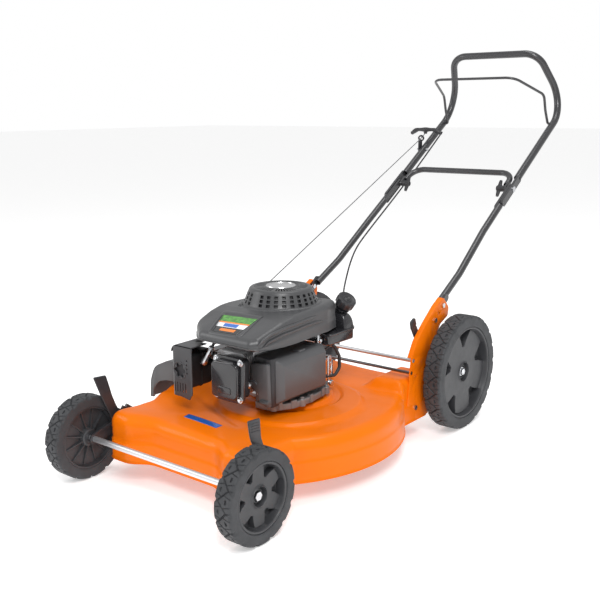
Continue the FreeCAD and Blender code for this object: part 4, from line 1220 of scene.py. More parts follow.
def guard():
    # front plate with a big rounded outer corner that turns into the side; the inner edge is free
    t = 2.4
    prof = rounded([(-60.0, 153.0), (-125.0, 153.0), (-125.0, 246.0)], [9.0], 8)
    prof = densify(prof, 4.0)
    T = np.gradient(prof, axis=0)
    T /= np.linalg.norm(T, axis=1)[:, None]
    s = np.concatenate([[0], np.cumsum(np.hypot(*np.diff(prof, axis=0).T))])
    nz = 78
    rows = []
    for i, (x, y) in enumerate(prof):
        # top and bottom edges: rounded corners at the outer side, a notch at the bottom by the free edge
        zt = 315.6 - 15.0 * (1 - math.sqrt(max(0.0, 1 - float(np.clip((-108.5 - x) / 17.0, 0, 1)) ** 2)))
        zb = 192.0
        if y < 160:
            zb = 192.0 - 4.0 * float(sstep(-100, -66, x))
        else:
            zb = 192.0 + 26.0 * float(sstep(195, 240, y))
        rows.append([(x, y, zb + (zt - zb) * j / nz) for j in range(nz + 1)])
    P = np.array(rows)
    nu, nv = P.shape[:2]
    faces = []
    gx, gz = -98.0, 256.0
    for i in range(nu - 1):
        for j in range(nv - 1):
            faces.append((i * nv + j, (i + 1) * nv + j, (i + 1) * nv + j + 1, i * nv + j + 1))
    ob = finish_mesh("guard_plate", P.reshape(-1, 3), faces, MUFF, 40)
    md = ob.modifiers.new("s", "SOLIDIFY")
    md.thickness = t / 1000
    md.offset = 0.0
    apply_mods(ob)
    # lobed outlet: a round hole with six lobes
    lob = []
    for k in range(96):
        a = 2 * pi * k / 96
        r = 15.6 + 3.0 * math.cos(6 * a)
        lob.append((gx + r * math.cos(a), gz + r * math.sin(a)))
    ob = boolean(ob, prism("cut", lob, "y", 145, 160, MUFF))
    for k in range(5):
        x = -118.0 + 8.8 * k
        ob = boolean(ob, prism("cut", [(x, 202), (x + 3.4, 202), (x + 3.4, 226), (x, 226)], "y", 145, 160, MUFF, radii=1.6, rseg=4))
    for k in range(4):
        z = 250 + 10 * k
        ob = boolean(ob, prism("cut", [(-76.5, z), (-72.5, z), (-72.5, z + 4), (-76.5, z + 4)], "y", 145, 160, MUFF, radii=1.8, rseg=4))
    # rounded notch at the bottom of the free edge
    ob = boolean(ob, prism("cut", [(-74, 180), (-50, 180), (-50, 204), (-62, 200)], "y", 145, 160, MUFF, radii=[2, 2, 2, 6]))
    bevel(ob, 0.5, 2, 40, 40)
    # roof and the rolled bead round the lobed hole
    arc = [(-108.0 - 18.0 * math.sin(q), 298.4 + 18.0 * math.cos(q)) for q in np.linspace(0, pi / 2, 12)]
    arci = [(-108.0 - 15.6 * math.sin(q), 298.4 + 15.6 * math.cos(q)) for q in np.linspace(0, pi / 2, 12)][::-1]
    sect = [(-59.0, 316.4)] + arc + arci + [(-59.0, 314.0)]
    secs = []
    for y in (151.8, 152.4, 154, 170, 190, 210, 230, 246, 248):
        g = {151.8: 0.6, 152.4: 0.2}.get(y, 0.0)
        secs.append([(x, y, z - g) for x, z in sect])
    n_, k_ = len(secs), len(secs[0])
    fcs = [(i * k_ + j, i * k_ + (j + 1) % k_, (i + 1) * k_ + (j + 1) % k_, (i + 1) * k_ + j) for i in range(n_ - 1) for j in range(k_)]
    fcs += [list(range(k_))[::-1], [(n_ - 1) * k_ + j for j in range(k_)]]
    top = finish_mesh("guard_top", np.array(secs).reshape(-1, 3), fcs, MUFF, 40)
    top = boolean(top, prism("cut", [(-81, 204), (-50, 204), (-50, 226), (-81, 226)], "z", 300, 325, MUFF, radii=4))
    u = []
    for k in range(97):
        a = 2 * pi * k / 96
        r = 20.6
        u.append((gx + r * math.cos(a), 151.9, gz + r * math.sin(a)))
    bead = sweep("bead", u, 1.1, MUFF, 10, False, 60)
    scr = prism("guard_screen", [(gx - 17, gz - 17), (gx + 17, gz - 17), (gx + 17, gz + 17), (gx - 17, gz + 17)], "y", 156.5, 157.4, BPLAST, 0.3, 1,
                radii=6)
    edge = sweep("guard_edge", densify([(-60.2, 153, 206), (-60.2, 153, 300), (-60.2, 155, 313)], 6), 1.5, MUFF, 10)
    return join("muffler_shield", [ob, top, bead, scr, edge])


gd = guard()
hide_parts("muffler_guard")
for o in (muff, gd):
    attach(o, "chassis")

# ------------------------------------------------------------------ spark plug shield: slanted bright sleeve
sp = []
ax_ = np.array([-66.0, 196.0, 268.0]), np.array([-44.0, 206.0, 310.0])
dv = ax_[1] - ax_[0]
L_ = np.linalg.norm(dv)
sp.append(lathe("sleeve", [(6.0, 0), (8.2, 0), (9.0, 1.5), (9.0, 16), (8.0, 18), (8.0, 30), (7.2, L_ - 2), (6.0, L_), (4.6, L_), (4.6, 4),
                           (6.0, 3)], ax_[0], dv, ZINC, 40, 30))
sp.append(sweep("lead", densify(rounded([(-58, 199, 283), (-52, 214, 290), (-49, 219, 285.5)], [6], 6), 2.0), 6.4, RUBBER, 20))
boot = join("plug_shield", sp)
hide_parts("spark_plug_boot")
lead = sweep("plug_lead", densify(rounded([(-44.2, 206, 309), (-40, 209, 319), (-20, 232, 326), (10, 262, 331)], [8, 20], 8), 3.0), 3.4,
             RUBBER, 16)
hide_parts("spark_plug_boot")
for o in (boot, lead):
    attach(o, "chassis")


# ------------------------------------------------------------------ air filter box
def loft(name, secs, mat, cap=True, smooth=30.0, bev=0.0, seg=2):
    # closed sections of equal length
    P = np.array(secs, float)
    n, k = P.shape[:2]
    faces = []
    for i in range(n - 1):
        for j in range(k):
            faces.append((i * k + j, i * k + (j + 1) % k, (i + 1) * k + (j + 1) % k, (i + 1) * k + j))
    if cap:
        faces.append(list(range(k))[::-1])
        faces.append([(n - 1) * k + j for j in range(k)])
    ob = finish_mesh(name, P.reshape(-1, 3), faces, mat, smooth)
    if bev:
        bevel(ob, bev, seg, smooth=smooth)
    return ob


def rect(x, y0, y1, z0, z1, r=3.0, dz=0.0):
    p = rounded([(y0, z0), (y1, z0), (y1, z1 - dz), (y0, z1)], r, 4, closed=True) if False else \
        rounded([(y0, z0), (y1, z0), (y1, z1 - dz), (y0, z1)], [r] * 4, 4, closed=True)
    return [(x, a, b) for a, b in p]


fc = []
fc.append(loft("af_body", [rect(62, 238, 421, 190, 298, 5), rect(117, 238, 421, 190, 298, 5), rect(120.5, 240, 419.5, 191.5, 296.5, 5),
                           rect(134.0, 254, 412, 201, 285, 4), rect(135.2, 256, 410, 203, 283, 4)], FILTER, bev=0.0))
# the ridge is in black plastic: a black band painted as the dark shade seen on the filter cover's chamfer
fc.append(prism("af_ridge_painted_shade", [(100, 226), (119, 228), (121.2, 233), (121.4, 249), (96, 249)], "z", 187, 302, BPLAST, 3.0, 3, radii=[5, 6, 3, 2, 2]))
fc.append(prism("af_clip", [(330, 296), (352, 296), (352, 301), (330, 301)], "x", 96, 119, FILTER, 1.4, 2, radii=2))
fc.append(prism("af_clip2", [(400, 292), (414, 292), (414, 299), (400, 299)], "x", 100, 118, FILTER, 1.4, 2, radii=2))
af = join("filter_box", fc)
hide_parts("air_filter_cover")
fb = []
fb.append(prism("af_snorkel", [(64, 226), (84, 216), (88, 198), (112, 186), (118, 190), (116, 292), (66, 286)], "y", 219, 243, FILTER, 3.0, 3, radii=[6, 6, 8, 6, 4, 5, 6]))
fb.append(prism("af_web", [(212, 196), (242, 190), (242, 206), (216, 206)], "x", 92, 118, SHROUD, 2.0, 2, radii=4))
fbj = join("filter_duct", fb)
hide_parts("air_filter_base")
cb = []
cb.append(prism("carb_body", [(62, 238), (86, 238), (86, 256), (62, 256)], "z", 224, 264, ALLOY, 2.0, 2, radii=4))
cb.append(lathe("carb_bowl", [(0.01, 0), (10, 0), (12, 2), (12, 16), (13.4, 17), (13.4, 19.5), (0.01, 19.5)], (74, 247, 205), (0, 0, 1), ALLOY, 40))
cb.append(lathe("carb_nut", [(0.01, 0), (4.6, 0), (4.6, 4.4), (0.01, 4.4)], (74, 247, 201), (0, 0, 1), ZINC, 6, 20))
cb.append(lathe("choke_boss", [(0.01, 0), (9.5, 0), (10, 2), (10, 6), (7, 8), (0.01, 8)], (70, 206.5, 240), (0, -1, 0), ZINC, 36))
cb.append(lathe("choke_boss2", [(0.01, 0), (6.2, 0), (6.2, 9), (4.4, 11), (0.01, 11)], (58, 205.5, 226), (0, -1, 0), ZINC, 30))
u = [(84 - 17 * math.cos(a), 203, 232 + 20 * math.sin(a)) for a in np.linspace(0.1, 2.4, 18)]
cb.append(sweep("choke_hook", u, 3.2, BPLAST, 14))
carb = join("carburettor_set", cb)
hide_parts("carburettor")
for o, sl in ((af, "black_plastic"), (fbj, "black_plastic"), (carb, "cast_alloy")):
    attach(o, "chassis")

# ------------------------------------------------------------------ fuel tank and cap
tk_ = []
tk_.append(prism("tank_low", [(16, 468), (66, 468), (70, 446), (118, 446), (122, 545), (112, 552), (24, 552), (16, 545)], "z", 284.5, 313,
                 GLOSSB, 5.0, 4, radii=[8, 8, 8, 8, 12, 8, 8, 12]))
tk_.append(prism("tank_seam", [(11, 464), (63, 464), (66, 441), (127, 441), (127.5, 540), (116, 556.5), (20, 556.5), (11, 548)], "z", 311.0,
                 316.0, GLOSSB, 1.4, 3, radii=[6, 8, 6, 8, 12, 10, 10, 8]))
tp_sec = []
for z, i in ((315.0, 2.0), (322.0, 3.0), (333.0, 6.0), (343.0, 12.0), (349.0, 19.0), (351.5, 27.0)):
    p = rounded([(14 + i, 508 + i * 0.2), (124 - i * 0.6, 508 + i * 0.2), (125 - i * 0.6, 553 - i * 0.5), (14 + i, 553 - i * 0.5)], [7, 7, 14, 12], 6,
                closed=True)
    tp_sec.append([(a, b, z) for a, b in p])


def loft2(name, secs, mat, smooth=40.0):
    P = np.array(secs, float)
    n, k = P.shape[:2]
    faces = []
    for i in range(n - 1):
        for j in range(k):
            faces.append((i * k + j, i * k + (j + 1) % k, (i + 1) * k + (j + 1) % k, (i + 1) * k + j))
    faces.append(list(range(k))[::-1])
    faces.append([(n - 1) * k + j for j in range(k)])
    return finish_mesh(name, P.reshape(-1, 3), faces, mat, smooth)


tk_.append(loft2("tank_top", tp_sec, GLOSSB))
capc = np.array([99.0, 533.0, 371.0])
capd = np.array([0.60, -0.12, 0.79])
capd = capd / np.linalg.norm(capd)
tk_.append(lathe("neck", [(12, -24), (17.5, -24), (17.5, -9), (20.5, -8), (20.5, -4), (16, -3), (15, 3.5), (12, 3.5)], capc, capd, GLOSSB, 48))
tank = join("tank_moulding", tk_)
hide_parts("fuel_tank")
# knurled cap: twelve grip lobes, a dished top with a ring and a button
u_, v_, w_ = frame_of(capd)
nn = 144
pf = [(15.4, 1.4), (22.0, 1.4), (24.6, 3.0), (25.2, 6.0), (25.6, 12.0), (25.6, 18.0), (25.0, 21.0), (23.2, 23.0), (20.5, 23.6), (18.6, 22.8),
      (13.0, 21.2), (11.6, 21.2), (10.8, 22.4), (9.2, 22.6), (8.0, 21.8), (6.8, 21.0), (5.6, 21.6), (3.6, 22.8), (0.05, 23.1)]
P = []
for k in range(nn):
    a = 2 * pi * k / nn
    e = u_ * math.cos(a) + v_ * math.sin(a)
    row = []
    for r, h in pf:
        lobe = 1.7 * (0.5 + 0.5 * math.cos(12 * a)) ** 0.7 if False else 1.5 * (1 - abs(math.sin(6 * a)) ** 3)
        rr = r - (lobe if r > 22.5 and h < 22 else 0.0)
        row.append(capc + e * rr + w_ * h)
    P.append(row)
capo = grid("cap_shell", P, BPLAST, closed_u=True, smooth=40, merge=0.02)
md = capo.modifiers.new("s", "SOLIDIFY")
md.thickness = 0.0018
md.offset = -1.0
apply_mods(capo)
resharpen(capo, 40)
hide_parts("fuel_cap")
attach(tank, "chassis")
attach(capo, "tank_cap")

# ------------------------------------------------------------------ control bracket with its holes, lever, spring and hose
ct = []
cbp = prism("ctl_plate", [(424, 196), (438, 196), (441, 204), (441, 300), (436, 316), (424, 316)], "x", 98, 100.4, ZINC, 0.0, radii=[2, 5, 3, 3, 5, 2])
for k in range(6):
    z = 208.0 + 16.5 * k
    cbp = boolean(cbp, lathe("h", [(0.01, 0), (3.0, 0), (3.0, 10), (0.01, 10)], (94, 432.5, z), (1, 0, 0), ZINC, 24))
bevel(cbp, 0.4, 2, 40)
ct.append(cbp)
cb2 = prism("ctl_plate2", [(468, 178), (486, 178), (489, 186), (489, 240), (482, 252), (468, 252)], "x", 96, 98.2, ZINC, 0.0, radii=[4, 5, 3, 4, 6, 3])
for k in range(4):
    cb2 = boolean(cb2, lathe("h", [(0.01, 0), (3.4, 0), (3.4, 10), (0.01, 10)], (92, 478 + 2.0 * (k % 2), 190.0 + 16.0 * k), (1, 0, 0), ZINC, 24))
bevel(cb2, 0.4, 2, 40)
ct.append(cb2)
ct.append(prism("ctl_link", [(438, 236), (470, 240), (470, 248), (438, 246)], "x", 96.2, 98.0, ZINC, 0.5, 2, radii=2))
ct.append(lathe("ctl_pivot", [(0.01, 0), (7.5, 0), (7.5, 5), (6, 6.5), (0.01, 6.5)], (98, 479, 180), (1, 0, 0), ZINC, 28))
ct.append(prism("ctl_fl", [(98, 424), (116, 424), (116, 426.6), (98, 426.6)], "z", 200, 244, ZINC, 0.6, 2))
ct.append(prism("ctl_arm", [(58, 424), (99, 424), (99, 426.8), (58, 426.8)], "z", 297, 316, ZINC, 0.6, 2))
for y, z, l in ((433, 300, 12), (431, 216, 9), (434, 262, 6)):
    ct.append(lathe("ctl_screw", [(0.01, 0), (5.0, 0), (5.0, 3.6), (4.0, 4.6), (0.01, 4.6)], (100.2, y, z), (1, 0, 0), ZINC, 6, 20))
# governor link: a coil spring
hx = []
for i in range(220):
    t = i / 219.0
    a = 2 * pi * 16 * t
    hx.append((106 + 3.2 * math.cos(a), 436 + 3.2 * math.sin(a), 222 + 40 * t))
ct.append(sweep("ctl_spring", hx, 0.75, ZINC, 8, True, 60))
ctl = join("control_plate", ct)
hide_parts("control_bracket")
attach(ctl, "chassis")
hose = sweep("fuel_hose", densify(rounded([(92, 480, 288), (100, 496, 268), (104, 508, 244), (104, 509, 214), (101, 494, 197), (94, 468, 199),
                                           (82, 444, 212)], [14, 18, 16, 12, 14], 8), 3.0), 4.2, RUBBER, 18)
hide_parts("fuel_tank")
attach(hose, "chassis")

# ------------------------------------------------------------------ side discharge hood
HXX, HZZ = -222.0, 186.0
outer_p = rounded([(-214, 232.5), (-246, 231), (-296, 208), (-312, 170), (-315.6, 123.2)], [40, 40, 60], 10)
outer_p = densify(outer_p, 4.0)
inner_p = rounded([(-304, 123.4), (-301.5, 150), (-284, 169), (-252, 178), (-214, 180)], [26, 30, 30], 10)


def hood():
    ys = np.concatenate([[247.0, 247.6, 249.0], np.linspace(254, 490, 40), [495.0, 496.4, 497.0]])
    T = np.gradient(outer_p, axis=0)
    T /= np.linalg.norm(T, axis=1)[:, None]
    N = np.stack([T[:, 1], -T[:, 0]], 1)
    if N[0][1] > 0:
        N = -N
    P = []
    for y in ys:
        e = 0.0
        d0 = min(y - 247.0, 497.0 - y)
        inset = 2.0 * (1 - math.sqrt(max(0.0, 1 - (1 - min(d0, 2.0) / 2.0) ** 2)))
        row = [(p[0] + n[0] * inset, y, p[1] + n[1] * inset) for p, n in zip(outer_p, N)]
        row += [(p[0] + n[0] * 3.0, y, p[1] + n[1] * 3.0) for p, n in zip(outer_p[::-1], N[::-1])]
        P.append(row)
    sh = loft2("hood_sheet", P, FILTER, 45)
    pcs = [sh]
    for y0, y1 in ((247.3, 253.5), (490.5, 496.7)):
        poly = [tuple(p) for p in outer_p + N * 0.6] + [tuple(p) for p in inner_p]
        pcs.append(prism("hood_cheek", poly, "y", y0, y1, FILTER, 0.9, 2))
    for y0 in (268.0, 462.0):
        pcs.append(lathe("eye", [(3.2, 0), (6.0, 0), (6.4, 0.8), (6.4, 13.2), (6.0, 14), (3.2, 14)], (HXX, y0, HZZ), (0, 1, 0), FILTER, 32))
        pcs.append(prism("eye_web", [(HXX - 4, HZZ + 4.5), (HXX + 4, HZZ + 4.5), (HXX + 6, 231), (HXX - 8, 230.5)], "y", y0 + 2, y0 + 12, FILTER, 0.8,
                         2))
    for y in (310.0, 372.0, 434.0):
        o2 = outer_p + N * 2.4
        k = len(o2)
        sel = [tuple(p) for p in o2[int(k * .12):int(k * .8)]]
        inn = [tuple(p) for p in (outer_p + N * 9.0)[int(k * .12):int(k * .8)]][::-1]
        pcs.append(prism("hood_rib", sel + inn, "y", y - 1.2, y + 1.2, FILTER, 0.4, 1))
    # coil of the closing spring on the pin is a separate bright piece
    return join("side_hood", pcs)


hd = hood()
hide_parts("discharge_deflector")
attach(hd, "deflector")
hc = []
for i in range(260):
    t = i / 259.0
    a = 2 * pi * 13 * t
    hc.append((HXX + 4.6 * math.cos(a), 300 + 34 * t, HZZ + 4.6 * math.sin(a)))
hs = sweep("hood_spring", hc, 1.0, ZINC, 8, True, 60)
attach(hs, "chassis")
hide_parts("deflector_hinge_pin")
pn = lathe("hood_pin", [(0.01, 0), (2.2, 0.4), (3.0, 1.2), (3.0, 232.8), (2.2, 233.6), (0.01, 234)], (HXX, 255, HZZ), (0, 1, 0), ZINC, 32)
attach(pn, "chassis")
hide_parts("deflector_hinge_pin")

# ------------------------------------------------------------------ side brackets
plate = [(629, 51), (640, 110), (649, 180), (657, 224), (682, 265), (730, 306), (775, 340), (806, 357),
         (816, 354), (842, 326), (838, 303), (800, 288), (786, 270), (782, 200), (770, 120), (745, 53)]
prad = [6, 60, 60, 30, 40, 60, 30, 10, 8, 10, 10, 14, 14, 50, 60, 8]


def side_bracket():
    ob = prism("plate", plate, "x", 222.0, 225.0, ORANGE, 0.0, radii=prad, rseg=6)
    for y, z, r in ((811, 336, 4.2), (771, 303, 4.2), (678, 86, 4.2), (648, 91, 2.6), (682, 172, 3.5), (745, 215, 8.2), (664, 216, 5.0),
                    (656, 185, 4.0), (792, 318, 3.4)):
        ob = boolean(ob, lathe("h", [(0.01, 0), (r, 0), (r, 12), (0.01, 12)], (217, y, z), (1, 0, 0), ORANGE, 40))
    bevel(ob, 0.7, 2, 40, 40)
    # bent flange along the front edge
    fr_ = rounded([np.array(p, float) for p in plate[3:8]], [40, 60, 30], 8)
    fr_ = densify(fr_, 5.0)
    T = np.gradient(fr_, axis=0)
    T /= np.linalg.norm(T, axis=1)[:, None]
    N = np.stack([T[:, 1], -T[:, 0]], 1)
    P = []
    for p, n in zip(fr_, N):
        o = p - n * 0.0
        i = p + n * 2.8
        P.append([(224.6, o[0], o[1]), (223.0, o[0] - n[0] * 0.5, o[1] - n[1] * 0.5), (212.0, o[0] - n[0] * 0.3, o[1] - n[1] * 0.3),
                  (211.0, o[0] + n[0] * 0.8, o[1] + n[1] * 0.8), (211.0, i[0] - n[0] * .6, i[1] - n[1] * .6), (211.8, i[0], i[1]),
                  (223.0, i[0], i[1]), (224.6, i[0], i[1])])
    fl_ = loft2("flange", P, ORANGE, 40)
    return join("bracket_plate", [ob, fl_])


bl_ = side_bracket()
br_ = mirror_x(bl_, "bracket_plate_r")
for o, n in ((bl_, "left_side_bracket"), (br_, "right_side_bracket")):
    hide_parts(n)
    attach(o, "chassis")


# ------------------------------------------------------------------ front height levers
def fl_lever():
    a0, a1 = 233.6, 238.2
    def obr(p, q, w, n=14):
        p, q = np.array(p, float), np.array(q, float)
        d = (q - p) / np.linalg.norm(q - p)
        e = np.array([-d[1], d[0]])
        pts = []
        for k in range(n + 1):
            t = -pi / 2 + pi * k / n
            pts.append(q + (d * math.cos(t) + e * math.sin(t)) * w / 2)
        for k in range(n + 1):
            t = pi / 2 + pi * k / n
            pts.append(p + (d * math.cos(t) + e * math.sin(t)) * w / 2)
        return [tuple(v) for v in pts]
    arm = prism("arm", obr((0, 100), (75, 118), 26), "x", a0, a1, BSTEEL, 0.0)
    arm = boolean(arm, lathe("h", [(0.01, 0), (7.0, 0), (7.0, 12), (0.01, 12)], (229, 0, 100), (1, 0, 0), BSTEEL, 40))
    arm = boolean(arm, lathe("h", [(0.01, 0), (6.2, 0), (6.2, 12), (0.01, 12)], (229, 75, 118), (1, 0, 0), BSTEEL, 40))
    bevel(arm, 0.8, 2, 40, 40)
    # strip that rises behind the tyre and turns out into the finger tab
    sec = []
    for (x, y, z, w, lean) in ((235.9, 74, 118, 28, 0), (235.9, 66, 138, 28, 0), (235.9, 56, 162, 29, 0), (235.9, 46, 186, 30, 0), (235.9, 41.6, 197, 31, 3),
                               (236.3, 39.6, 204, 32, 6), (237.4, 37.0, 214, 33.5, 7), (239.4, 33.2, 229, 35, 8), (241.0, 30.4, 240, 36, 8),
                               (241.5, 29.8, 243, 35, 8), (241.8, 29.5, 244.4, 32, 8)):
        t = math.radians(lean)
        nx, nz = math.cos(t), -math.sin(t)
        h = 2.0 if z < 244 else 1.4
        row = []
        for (s, g) in ((-1, -1), (-0.94, -1.0), (0.94, -1.0), (1, -1), (1, 1), (0.94, 1.0), (-0.94, 1.0), (-1, 1)):
            gg = g * (h if abs(s) < 0.99 else h * 0.55)
            row.append((x + nx * gg, y + s * w / 2, z + nz * gg - s * w / 2 * 0.08))
        sec.append(row)
    st = loft2("strip", sec, BSTEEL, 40)
    # moulded finger grip with ribs on the tab
    gr = []
    for k in range(4):
        z = 217.0 + 6.5 * k
        x = 237.9 + (z - 217) * 0.14
        y = 36.5 - (z - 217) * 0.25
        gr.append(sweep("rib", densify([(x + 2.0, y - 12, z + 1), (x + 2.0, y + 12, z - 1)], 4), 1.0, BSTEEL, 8))
    return join("lever_left", [arm, st] + gr)


ll = fl_lever()
lr_ = mirror_x(ll, "lever_right")
lv = join("front_levers", [ll, lr_])
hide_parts("front_height_levers")
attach(lv, "front_axle_unit")

# ------------------------------------------------------------------ rear adjusters
def rear_set():
    def obr(p, q, w, n=14):
        p, q = np.array(p, float), np.array(q, float)
        d = (q - p) / np.linalg.norm(q - p)
        e = np.array([-d[1], d[0]])
        pts = []
        for k in range(n + 1):
            t = -pi / 2 + pi * k / n
            pts.append(q + (d * math.cos(t) + e * math.sin(t)) * w / 2)
        for k in range(n + 1):
            t = pi / 2 + pi * k / n
            pts.append(p + (d * math.cos(t) + e * math.sin(t)) * w / 2)
        return [tuple(v) for v in pts]
    ps = [prism("arm", obr((745, 215), (837, 154.5), 30), "x", 229.6, 235.0, BSTEEL, 1.0, 2)]
    ps.append(lathe("shaft", [(0.01, 0), (7.0, 0), (8.0, 1), (8.0, 32), (0.01, 32)], (203, 745, 215), (1, 0, 0), BSTEEL, 36))
    ps.append(lathe("stub", [(0.01, 0), (10, 0), (10, 7), (6, 7.6), (6, 44), (5, 45), (0.01, 45)], (234, 837, 154.5), (1, 0, 0), ZINC, 36))
    ps.append(lathe("boss", [(0.01, 0), (13.5, 0), (14, 0.6), (14, 3.4), (13.5, 4), (0.01, 4)], (203, 745, 215), (1, 0, 0), BSTEEL, 40))
    ps.append(prism("lev", [(737, 206), (756, 222), (706, 300), (686, 290)], "x", 203, 207, BSTEEL, 0.8, 2, radii=[6, 6, 3, 3]))
    ps.append(prism("lev_tip", [(686, 288), (708, 301), (700, 322), (680, 312)], "x", 201.5, 207.5, BPLAST, 1.8, 3, radii=[3, 3, 6, 6]))
    ps.append(lathe("nut", [(0.01, 0), (9.6, 0), (9.6, 5.4), (8.4, 6.4), (6.0, 6.4), (5.4, 7.4), (0.01, 7.4)], (272.4, 837, 154.5), (1, 0, 0), ZINC, 6, 20))
    ps.append(lathe("washer", [(0.01, 0), (12.6, 0), (12.6, 1.2), (11.8, 1.7), (0.01, 1.7)], (270.7, 837, 154.5), (1, 0, 0), ZINC, 48, 30))
    return join("rear_set", ps)


rs = rear_set()
rs2 = mirror_x(rs, "rear_set_r")
for o, n, bdy in ((rs, "rear_left_height_adjuster", "rear_left_adjuster"), (rs2, "rear_right_height_adjuster", "rear_right_adjuster")):
    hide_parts(n)
    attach(o, bdy)

# ------------------------------------------------------------------ wing knobs of the fold joints
def knob():
    ps = [lathe("hub", [(4.4, 4), (4.4, 0.6), (8.0, 0.6), (9.2, 2.0), (9.6, 8), (9.6, 22), (9.0, 25), (4.4, 25.4), (4.4, 4.4), (0.01, 4.4), (0.01, 4.0)],
                (154.2, 1245, 611), (1, 0, 0), BPLAST, 40, closed=False)]
    a = math.radians(62)
    for s in (1, -1):
        P = []
        for t in np.linspace(0, 1, 14):
            r = 3 + 23.0 * t
            h = 5.6 - 0.6 * math.cos(t * 5)
            xx0, xx1 = 155.0 + 3.0 * t, 169.0 - 3.0 * t
            w = 5.2 - 1.0 * t
            if t > 0.9:
                w *= 0.8
            c = np.array([0, math.cos(a) * s * r, math.sin(a) * s * r])
            n_ = np.array([0, -math.sin(a), math.cos(a)])
            row = []
            for k in range(20):
                th = 2 * pi * k / 20
                ex = (xx0 + xx1) / 2 + (xx1 - xx0) / 2 * np.sign(math.cos(th)) * abs(math.cos(th)) ** 0.6
                q = c + n_ * w * np.sign(math.sin(th)) * abs(math.sin(th)) ** 0.7
                row.append((ex, 1245 + q[1], 611 + q[2]))
            P.append(row)
        ps.append(loft2("wing", P, BPLAST, 50))
    return join("knob_l", ps)


kl = knob()
kr = mirror_x(kl, "knob_r")
for o, n, bdy in ((kl, "left_fold_knob", "knob_left"), (kr, "right_fold_knob", "knob_right")):
    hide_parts(n)
    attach(o, bdy)

# ------------------------------------------------------------------ starter grip
tgp = rounded([(-267, 1433, 764), (-241, 1427, 778), (-173, 1427, 778), (-147, 1433, 764)], [36, 36], 10)
tgp = densify(tgp, 2.5)
tt_ = np.linspace(-1, 1, len(tgp))
scl = 1.0 + 0.16 * np.cos(tt_ * 3 * pi) * (np.abs(tt_) < 0.9) - 0.62 * np.clip(np.abs(tt_) - 0.93, 0, 1) / 0.07
g1 = sweep("t_bar", tgp, 6.6, BPLAST, 28, True, 60, scale=scl)
g2 = lathe("t_stem", [(2.0, -1), (4.6, -1), (5.6, 1), (7.4, 9), (8.6, 13), (2.0, 13)], (-207, 1427, 765), (0, 0, 1), BPLAST, 36)
gg = join("starter_t_grip", [g1, g2])
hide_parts("starter_grip")
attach(gg, "pull_grip")

# ------------------------------------------------------------------ free cords
def mm(p):
    return (p[0] / 1000.0 + OX, p[1] / 1000.0 + OY, p[2] / 1000.0)


def route(name, pts, res):
    # the smooth line of the route, read from a NURBS spline with the route's points as its control points
    cu = bpy.data.curves.new(name, "CURVE")
    cu.dimensions = "3D"
    sp_ = cu.splines.new("NURBS")
    sp_.points.add(len(pts) - 1)
    for q_, p in zip(sp_.points, pts):
        x, y, z = mm(p)
        q_.co = (x, y, z, 1.0)
    sp_.order_u = 3
    sp_.use_endpoint_u = True
    sp_.resolution_u = res
    ob = bpy.data.objects.new(name, cu)
    COL.objects.link(ob)
    bpy.context.view_layer.update()
    me = bpy.data.meshes.new_from_object(ob.evaluated_get(bpy.context.evaluated_depsgraph_get()))
    line = [tuple(v.co) for v in me.vertices]
    bpy.data.objects.remove(ob, do_unlink=True)
    bpy.data.meshes.remove(me)
    return line


def tube_on(name, line, r, mat, n=14, twist=0.0):
    return sweep(name, (np.array(line) - OFF) * 1000.0, r, mat, n, True, 60)


CAB = [(-184.5, 1500.0, 768.0), (-184.5, 1345.0, 658.8), (-184.5, 1202.0, 566.7), (-181.5, 1040.0, 470.0), (-181.5, 985.0, 432.0),
       (-168.0, 935.0, 394.0), (-142.0, 880.0, 362.0), (-108.0, 822.0, 345.0), (-70.0, 764.0, 336.0),
       (-30.0, 706.0, 330.0), (8.0, 652.0, 322.0), (40.0, 604.0, 306.0), (62.0, 566.0, 280.0), (76.0, 524.0, 272.0),
       (86.0, 484.0, 268.0), (90.0, 456.0, 268.0)]
ROPE = [(-76.5, 417.0, 405.0), (-213.2, 1407.3, 748.6)]
cab_line = route("cab_route", CAB, 12)
rope_line = route("rope_route", ROPE, 96)
cab = tube_on("stop_cable_tube", cab_line, 2.5, CABLE)
rope = tube_on("starter_rope_tube", rope_line, 1.3, ROPEM, 10)
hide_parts("stop_cable")
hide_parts("starter_rope")
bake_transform(cab)
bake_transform(rope)
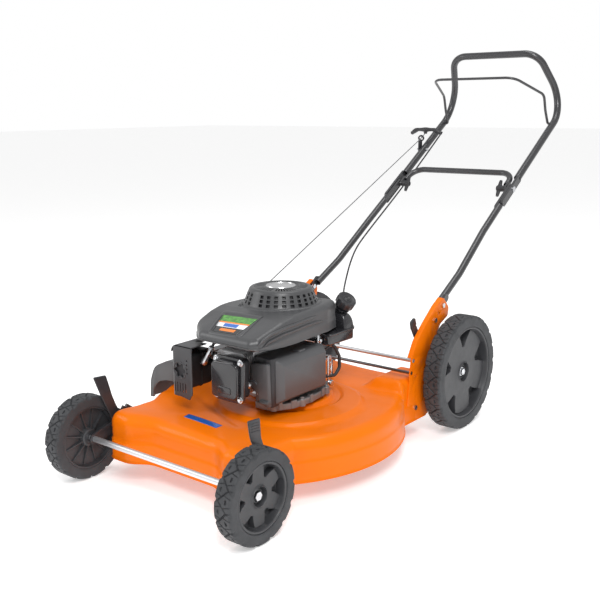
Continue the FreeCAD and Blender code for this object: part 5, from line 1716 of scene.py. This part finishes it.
# the strand between the guide and the grip
T0, T1 = np.array(ROPE[1]), np.array([-207.0, 1427.0, 767.0])
tail = sweep("starter_rope_tail", [tuple(T0 + (T1 - T0) * k / 80.0) for k in range(81)], 1.3, ROPEM, 10, True, 60)
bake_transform(tail)

# ------------------------------------------------------------------ carried-over CAD nodes
CADMAT = {
    "handle_crossbar": TUBE, "upper_handle": TUBE, "lower_handle_left": TUBE, "lower_handle_right": TUBE,
    "stop_bail": TUBE, "bracket_bolts": ZINC, "handle_bolts": ZINC, "front_axle_nuts": ZINC,
    "valve_cover_bolts": ZINC, "spark_plug": ZINC, "control_bracket": ZINC, "deflector_hinge_pin": ZINC,
    "front_pivot_pins": ZINC, "upper_cross_rod": AXLE, "front_axle": AXLE, "lower_cross_rod": DSTEEL,
    "crankshaft": DSTEEL, "blade_adapter": DSTEEL, "blade_bolt": DSTEEL, "blade": BSTEEL, "rope_guide": BSTEEL,
    "front_height_racks": BSTEEL, "front_height_levers": BSTEEL, "rear_left_height_adjuster": BSTEEL,
    "rear_right_height_adjuster": BSTEEL, "crankcase": ALLOY, "cylinder_head": ALLOY, "carburettor": ALLOY,
    "piston": MALLOY, "flywheel": IRON, "air_filter_element": PAPER, "muffler": MUFF, "muffler_guard": MUFF,
    "blower_shroud": SHROUD, "recoil_cover": SHROUD, "recoil_cap": MALLOY, "air_filter_cover": FILTER,
    "air_filter_base": SHROUD, "discharge_deflector": SHROUD, "fuel_tank": BPLAST, "fuel_cap": BPLAST,
    "starter_pulley": BPLAST, "left_fold_knob": BPLAST, "right_fold_knob": BPLAST, "starter_grip": BPLAST,
    "valve_cover": GLOSSB, "spark_plug_boot": ZINC, "deck_shell": ORANGE, "left_side_bracket": ORANGE,
    "right_side_bracket": ORANGE, "starter_rope": CABLE, "stop_cable": CABLE,
}
for n, m in CADMAT.items():
    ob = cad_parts.get(n)
    if ob is None or ob.type != "MESH":
        continue
    if not ob.data.materials:
        ob.data.materials.append(m)
    for s in ob.material_slots:
        s.material = m
